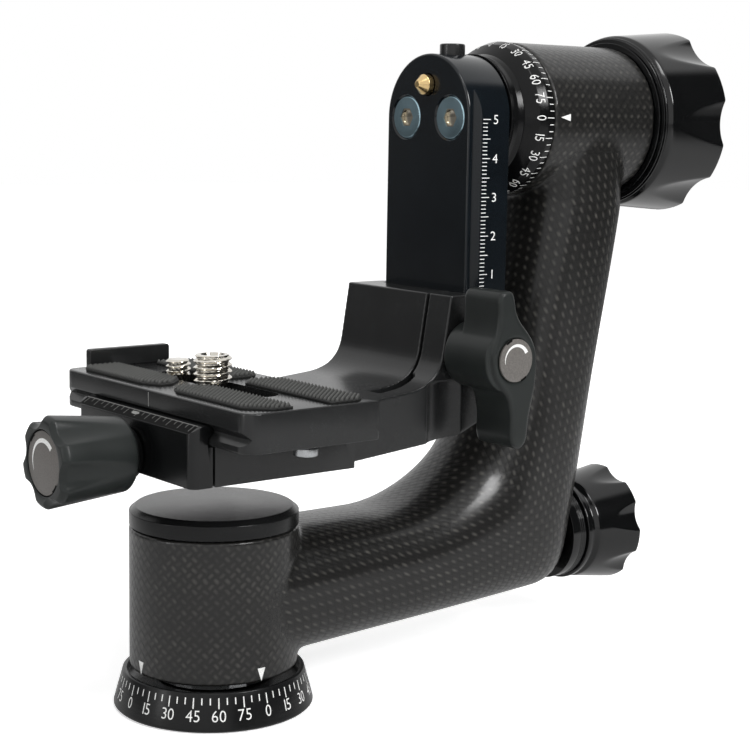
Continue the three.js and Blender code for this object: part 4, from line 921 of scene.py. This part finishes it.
def make_knobs():
    tilt = [(9.8, 0), (22.8, 0), (24, 1.2), (25.7, 21.6), (24.5, 22.8), (17.5, 22.8), (17.5, 21.6),
            (0.5, 21.6)]
    tilt = knob_mesh(tilt, 22.8, 1.2, 7, 0, 36.2, 11.6, 13, 0.3, 133.6, TILT)
    pan = [(5.3, 0), (14.4, 0), (14.4, 1.7), (13.4, 1.7), (13.4, 3.2), (14.5, 4.1), (16.8, 18.4),
           (15.9, 19.3), (11, 19.3), (11, 18.5), (0.5, 18.5)]
    pan = knob_mesh(pan, 19.3, 0.9, 7, 15, 23.1, 7.6, 8, 0.3, 117.5, PAN_KNOB[2])
    clamp = [(3.3, 0), (8, 0), (9, 1), (11.05, 19.4), (10.7, 20.2), (9.9, 20.8), (7.8, 20.8), (7.8, 19.6),
             (0.5, 19.6)]
    clamp = knob_mesh(clamp, 20.8, 1.2, 6, 10, 15.3, 6, 6, 0.6, -25.9, CLAMP_AXIS, way=-1)
    finished("tilt_lock_knob_fluted", tilt, GLOSS, "tilt_knob", sharp=40)
    finished("pan_lock_knob_fluted", pan, GLOSS, "pan_knob", sharp=40)
    finished("clamp_knob_fluted", clamp, CHARCOAL, "clamp_knob", sharp=40)
    disc = [(r, -25.9 - x) for r, x in [(0, 19.9), (7.5, 19.9), (7.5, 20.5), (0, 20.5)]]
    place = (0, 0, CLAMP_AXIS)
    turned_part("clamp_knob_disc_plate", "clamp_knob_disc", LABEL, disc, "X", place, 0.12, 96)
    disc_marks("clamp_knob_disc", 7.5, 17, lambda u, v: (-46.43, -u, CLAMP_AXIS + v), BODY["clamp_knob_disc"])
    washer = [(3.3, -25.6), (6, -25.6), (6, -23.6), (3.3, -23.6)]
    turned_part("clamp_washer_turned", "clamp_washer", TURNED_X, washer, "X", place)


make_knobs()

# Rail and what is set in it
PIN_HEIGHT = 153.9
BUTTON_X = 74.2


def make_rail():
    front, back, half = 66.06, 80.3, 16.55
    section = soften([(0, front), (half, front), (half, back), (0, back)], [0, 0.7, 0.5, 0], False, 5)
    stations = [((-1, 0), z) for z in np.linspace(72, TILT, 12)]
    stations += [((-math.cos(a), math.sin(a)), TILT) for a in np.linspace(0, math.pi, 73)[1:-1]]
    stations += [((1, 0), z) for z in np.linspace(TILT, 72, 12)]
    points, faces = [], []
    count = len(section)
    for (across, up), z in stations:
        points += [(x, across * h, z + up * h) for h, x in section]
    for s in range(len(stations) - 1):
        for k in range(count - 1):
            a = s * count + k
            faces.append([a, a + 1, a + 1 + count, a + count])
    faces += [list(range(count)), list(range((len(stations) - 1) * count, len(stations) * count))]
    grooves = []
    for sign in (-1, 1):
        outline = [(66.86, 17.5), (67.06, half), (68.71, 14.85), (68.91, 14.85), (70.56, half), (70.76, 17.5)]
        grooves.append(slab([(x, sign * y) for x, y in outline], 60, 170))
    mesh = combined(mesh_of(points, faces), grooves)
    hole = [(0, front - 2), (5.95, front - 2), (5.95, front), (3.3, front + 2.9), (3.3, 82), (0, 82)]
    cuts = [lathe(hole, "X", (0, y, TILT), 0, 64) for y in (-8.8, 8.8)]
    cuts.append(rod(2.95, 60, BUTTON_X, "X", (0, 0, PIN_HEIGHT), 48))
    cuts.append(rod(3.65, 156.5, 170, "Z", (BUTTON_X, 0, 0), 48))
    finished("dovetail_rail", combined(mesh, cuts), NAVY, "rail")
    for name, y in (("rail_screw_right", -8.8), ("rail_screw_left", 8.8)):
        screw = [(0, 0.2), (5.3, 0.2), (5.7, 0.6), (3, 3), (3, 20), (0, 20)]
        mesh = combined(lathe(screw, "X", edge=0.08), [slab(hexagon(2.3), -2, 1.8, "YZ")])
        finished(name + "_countersunk", moved(mesh, front, y, TILT), ZINC, name)
        bore = [(0, -1), (2, -1), (2, 1.2), (0, 1.7)]
        lining = combined(slab(hexagon(2.28), 0.32, 1.78, "YZ"), [lathe(bore, "X", edge=0, sides=48)])
        finished(name + "_socket", moved(lining, front, y, TILT), BRONZE, body="cradle")
    pin = [(0, 62.3), (0.9, 62.3), (2.3, 64.0), (2.65, 64.3), (2.65, 70), (0, 70)]
    turned_part("safety_pin_cone", "safety_pin", BRASS, pin, "X", (0, 0, PIN_HEIGHT), 0.15, 64)
    button = [(0, 159.4), (3.35, 159.4), (3.35, 164.7), (0, 164.7)]
    turned_part("safety_button_turned", "safety_button", BLACK, button, "Z", (BUTTON_X, 0, 0), 0.5, 64)
    zero = 95.1
    flat = []
    for step in range(51):
        points, shapes = line_mark(zero + step, 70.92, 73.53 if step % 5 == 0 else 72.52, 0.2)
        flat.append(([(x, z) for z, x in points], shapes))
    for number in range(6):
        flat.append(number_mark(str(number), 2.3, 75.3, zero + 10 * number, wide=1.22))
    painted("height_scale", flat, lambda u, v: (u, -half - LIFT, v), "cradle")


make_rail()

# Bracket
LEVER_AXIS = (62.5, 0, 86)


def make_bracket():
    curve = []
    for k in range(13):
        t = k / 12
        x = 54.9 * (1 - t) ** 2 + 53.6 * 2 * t * (1 - t) + 43.5 * t ** 2
        z = 86 * (1 - t) ** 2 + 78.1 * 2 * t * (1 - t) + 77.2 * t ** 2
        curve.append((x, z))
    left, right, half = 23.4, 70.5, 21.5
    side = [(left, 60.9), (60, 64.1), (68.4, 67.6), (right, 69.7), (right, 100.7), (57.3, 100.7), *curve,
            (left, 75.4)]
    plan = [(left, -half), (right, -half), (right, half), (left, half)]
    plan = slab(soften(plan, [0, 4, 4, 0], steps=6), 40, 110)
    body = combined(slab(side, -half, half, "XZ"), [plan], "INTERSECT")
    front, wide = 65.76, 16.85
    ridge = wide - 1.75
    channel = [(front, wide), (67.36, wide), (68.81, ridge), (70.8, ridge + 1.99), (72.5, ridge + 1.99)]
    tools = [slab([(x, -y) for x, y in channel] + channel[::-1], 50, 110),
             box_mesh((38.5, 66.2), (-12.85, -11.75), (72.5, 110)),
             slab([(38.5, -16.8), (52, -14.3), (52, -12.3), (38.5, -12.3)], 73, 110),
             rod(2.8, -1.3, 40, "Y", LEVER_AXIS, 48)]
    for sign in (-1, 1):
        tools.append(rod(10, 50, 79, "Z", (55.5, sign * (half + 10 - 1.8), 0)))
        tools.append(rod(2.3, 20, 34.3, "X", (0, sign * 9, CLAMP_AXIS), 32))
    mesh = rounded_all(combined(body, tools), 0.3, 4)
    finished("l_bracket_carved", mesh, BLACK, "l_bracket", sharp=60)


make_bracket()


def jaw_bevel(lift):
    """The jaw's bevel: u runs along the jaw, and v from the lower to the upper edge as a share."""
    return lambda u, v: (-23.3 + 2.6 * v - lift * 0.6, u, 73.8 + 1.6 * v + lift)


def make_clamp():
    body = [(-17, 61), (23.1, 61), (23.1, 75.4), (18.55, 75.4), (17.25, 74.1), (18.95, 72.4), (18.95, 70.5),
            (-17, 70.5)]
    body = soften(body, [0.3, 0.3, 0.4, 0.2, 0.2, 0.1, 0.1, 0.2])
    tools = [rod(3.3, -20, 4.3, "X", (0, 0, CLAMP_AXIS), 48)]
    for sign in (-1, 1):
        tools.append(rod(2.2, -20, -2.7, "X", (0, sign * 18, CLAMP_AXIS), 32))
        tools.append(lathe([(0, -20), (3.8, -20), (3.8, 10.3), (2.3, 10.3), (2.3, 26), (0, 26)], "X",
                           (0, sign * 9, CLAMP_AXIS), 0, 32))
    finished("clamp_body_milled", combined(slab(body, -26.5, 26.5, "XZ", 0.1), tools), BLACK, "clamp_body")
    jaw = [(-23.3, 61), (-17.6, 61), (-17.6, 70.5), (-18.95, 70.5), (-18.95, 72.4), (-17.25, 74.1),
           (-18.55, 75.4), (-20.7, 75.4), (-23.3, 73.8)]
    jaw = soften(jaw, [0.4, 0.3, 0.2, 0.1, 0.1, 0.2, 0.2, 0.3, 0.3])
    plan = [(-23.4, -26.6), (10, -26.6), (10, 26.6), (-23.4, 26.6)]
    plan = slab(soften(plan, [3.4, 0, 0, 3.4], steps=8), 55, 80)
    mesh = combined(slab(jaw, -26.5, 26.5, "XZ", 0.1), [plan], "INTERSECT")
    tools = [rod(3.3, -30, -10, "X", (0, 0, CLAMP_AXIS), 48)]
    tools += [rod(2.2, -22.3, -10, "X", (0, sign * 18, CLAMP_AXIS), 32) for sign in (-1, 1)]
    finished("clamp_jaw_milled", combined(mesh, tools), DEEP, "clamp_jaw")
    # A black sheet over the whole bevel is painted shade under the plate's overhang. The ruler's lines and
    # the spot lie on it.
    shade_sheet = ([(-25.3, 0.04), (25.3, 0.04), (25.3, 1.0), (-25.3, 1.0)], QUAD)
    marks = [([(-25.4, 0.9), (25.4, 0.9), (25.4, 0.97), (-25.4, 0.97)], QUAD)]
    for step in range(-10, 11):
        marks.append(line_mark(2.4 * step, 0.52 if step % 2 else 0.25, 0.92, 0.22))
    oval = [(0.9 + 1.7 * math.cos(TURN * i / 24), 0.62 + 0.16 * math.sin(TURN * i / 24)) for i in range(24)]
    for name, sheets, lift, material in (("jaw_ruler_shade_sheet", [shade_sheet], LIFT, SHADE_BLACK),
                                         ("jaw_ruler", marks, 0.05, DIM_PAINT),
                                         ("jaw_spot", [(oval, [range(24)])], 0.05, GREY_PAINT)):
        painted(name, sheets, jaw_bevel(lift), BODY["clamp_jaw"], material)


make_clamp()


def make_lever():
    x, _, z = LEVER_AXIS
    shares = [(-0.27, 0.76), (-0.22, 0.86), (-0.05, 0.87), (0.0, 0.74), (0.02, 0.6), (0.1, 0.47), (0.27, 0.3),
              (0.385, 0.1), (0.395, -0.15), (0.37, -0.4), (0.32, -0.58), (0.275, -0.8), (0.255, -1.04),
              (0.16, -1.15), (0.02, -1.11), (-0.02, -1.0), (-0.015, -0.7), (-0.08, -0.47), (-0.19, -0.35),
              (-0.31, -0.2), (-0.365, 0.02), (-0.35, 0.18), (-0.28, 0.36), (-0.26, 0.55)]
    outline = soften([(x + 20 * u, z + 20 * v) for u, v in shares], 3.0, steps=4)
    wings = slab(outline, -40, -26, "XZ", 1.1, 4)
    mesh = combined(wings, [rod(8.4, 22.6, 38.6, "Y", LEVER_AXIS, 96)], "UNION")
    tools = [rod(*sizes, "Y", LEVER_AXIS) for sizes in ((5.7, 39.6, 45), (4.6, 35.3, 40), (2.8, 0, 38))]
    mesh = rounded_all(combined(mesh, tools), 0.28, 4)
    finished("height_lever_winged", mesh, CHARCOAL, "height_lever", sharp=60)
    disc = [(0, 39.9), (5.4, 39.9), (5.4, 40.5), (0, 40.5)]
    turned_part("lever_disc_plate", "lever_disc", LABEL, disc, "Y", LEVER_AXIS, 0.12)
    disc_marks("lever_disc", 5.4, 0, lambda u, v: (x + u, -40.53, z + v), "lever")
    washer = [(2.8, 21.8), (7, 21.8), (7, 22.3), (2.8, 22.3)]
    turned_part("lever_washer_turned", "lever_washer", STEEL, washer, "Y", LEVER_AXIS, 0.1)


make_lever()

# Quick-release plate with its pads and screws
PLATE_TOP = 80.15


def rounded_slot(half_x, half_y, steps=16):
    straight = half_y - half_x
    top = [(half_x * math.cos(a), straight + half_x * math.sin(a)) for a in np.linspace(0, math.pi, steps)]
    return top + [(-x, -y) for x, y in top]


def pad_outline(sign_x, sign_y, outer_y, near_cut, far_cut):
    points = [(5.1 + near_cut, 3), (13.5, 3), (16, 3 + near_cut), (16, outer_y - far_cut),
              (16 - far_cut, outer_y), (5.1, outer_y), (5.1, 3 + near_cut)]
    return [(sign_x * x, sign_y * y) for x, y in points]


def inside_outline(outline, x, y, margin):
    """True when a point is inside a convex outline by at least the margin."""
    sign = math.copysign(1, area_of(outline))
    for a, b in zip(outline, outline[1:] + outline[:1]):
        edge = (b[0] - a[0], b[1] - a[1])
        length = math.hypot(*edge)
        if sign * (edge[0] * (y - a[1]) - edge[1] * (x - a[0])) / length < margin:
            return False
    return True


def pad_mesh(outline):
    """A rubber pad: a flat sheet with slanting rows of small pyramids, up to its rim."""
    outline = soften(outline, 0.8)
    base = slab(outline, PLATE_TOP, 80.65, "XY", 0.12)
    points, faces = [], []
    pitch, low, high = 1.4, 80.6, 81.45
    for i in range(-30, 30):
        for j in range(-60, 60):
            x, y = (i + 0.5 * (j % 2)) * pitch, (j + 0.5) * pitch / 2
            if not inside_outline(outline, x, y, 0.25):
                continue
            start = len(points)
            for half, z in ((pitch * 0.47, low), (pitch * 0.1, high)):
                points += [(x - half, y, z), (x, y - half, z), (x + half, y, z), (x, y + half, z)]
            for k in range(4):
                n = (k + 1) % 4
                faces.append((start + k, start + n, start + 4 + n, start + 4 + k))
            faces += [tuple(start + 4 + k for k in range(4)), tuple(start + 3 - k for k in range(4))]
    return combined(base, [mesh_of(points, faces)], "UNION")


def thread_mesh(radius, pitch, neck, head, top, y, sides=72):
    """A camera screw: a disc head, and a neck with a helical thread on its upper end."""
    head_bottom, head_top, thread_start = 72.4, 74.6, 80.45

    def ring(r, z):
        return [(c, y + s, z) for c, s in circle(r, sides)]

    rows = [ring(r, z) for r, z in [
        (0.02, head_bottom), (head - 0.2, head_bottom), (head, head_bottom + 0.2), (head, head_top - 0.2),
        (head - 0.2, head_top), (neck, head_top), (neck, thread_start)]]
    steps = int((top - thread_start) / 0.09)
    for k in range(steps + 1):
        z = thread_start + (top - thread_start) * k / steps
        limit = min(radius, radius - 0.75 + (top - z) * 1.1, radius - 0.9 + (z - thread_start) * 2)
        row = []
        for i in range(sides):
            crest = abs((z / pitch - i / sides) % 1.0 - 0.5) * 2
            groove = min(1, max(0, crest * 1.35 - 0.12))
            c, s = round_point(min(limit, radius - pitch * 0.5 * groove), TURN * i / sides)
            row.append((c, y + s, z))
        rows.append(row)
    return grid_mesh(rows + [ring(0.02, top)])


def make_plate():
    half, long, low = 18.65, 41.9, 70.8
    right = [(half, low), (half, 72.4), (half - 1.7, 74.1), (half, 75.8), (half, PLATE_TOP)]
    side = right + [(-x, z) for x, z in right[::-1]]
    side = soften(side, [0.3, 0.15, 0.15, 0.15, 0, 0, 0.15, 0.15, 0.15, 0.3])
    plan = [(-half, -long), (half, -long), (half, long), (-half, long)]
    plan = slab(soften(plan, [4.2, 1.2, 1.2, 4.2], steps=8), low, PLATE_TOP, "XY", 0.45, 4)
    mesh = combined(slab(side, -long - 1, long + 1, "XZ"), [plan], "INTERSECT")
    stops = (("stop_screw_near", -38), ("stop_screw_far", 38))
    tools = [slab(rounded_slot(4.2, 24), 60, 90), slab(rounded_slot(7.6, 27), 60, 76.2)]
    tools += [rod(1.8, 60, 76.8, "Z", (0, y, 0), 24) for _, y in stops]
    finished("quick_release_plate", combined(mesh, tools), BLACK, "quick_plate")
    for name, sign in (("left", -1), ("right", 1)):
        painted("plate_centre_line_" + name, [line_mark(0, 76.2, 79.6, 0.3)],
                lambda u, v: (sign * (half + LIFT), u, v), "slide_plate", GREY_PAINT)
    for name, *sizes in (("pad_1", -1, 1, 38, 5, 2.5), ("pad_2", 1, 1, 36, 2.5, 2.5),
                         ("pad_3", -1, -1, 40.5, 5, 5), ("pad_4", 1, -1, 40.5, 2.5, 2.5)):
        finished(name + "_rubber", pad_mesh(pad_outline(*sizes)), RUBBER, name, sharp=25)
    lug = [(-12.5, PLATE_TOP), (11.2, PLATE_TOP), (11.2, 84.85), (-12.5, 84.85)]
    lug = soften(lug, [0, 0, 0.8, 0.8])
    finished("twist_lug_milled", slab(lug, 39.2, 41.6, "XZ", 0.3), BLACK, "twist_lug")
    for name, y in stops:
        screw = [(0, 68.5), (2.9, 68.5), (2.9, 70.5), (1.5, 70.5), (1.5, 76.5), (0, 76.5)]
        mesh = combined(lathe(screw, edge=0.45, sides=64), [slab(hexagon(1.3), 60, 69.6)])
        finished(name + "_headed", moved(mesh, 0, y, 0), STEEL, name)
    recess = lathe([(0, 86.1), (2.6, 86.1), (3.1, 87.6), (0, 87.6)], "Z", (0, 0.9, 0), 0, 48)
    large = combined(thread_mesh(4.76, 1.5875, 3.9, 7, 87.3, 0.9), [recess])
    finished("camera_screw_large_threaded", large, NICKEL, "camera_screw_large", sharp=30)
    small = thread_mesh(3.18, 1.27, 3.1, 6.4, 84.3, 16.8)
    finished("camera_screw_small_threaded", small, NICKEL, "camera_screw_small", sharp=30)


make_plate()

# Pieces that keep their built shape
for node in BODY:
    if node not in REPLACED:
        kept = frame["nodes"][node].data.materials
        kept.clear()
        kept.append(ZINC if "_screw_" in node else BRASS if node == "pan_brake_shoe" else STEEL)
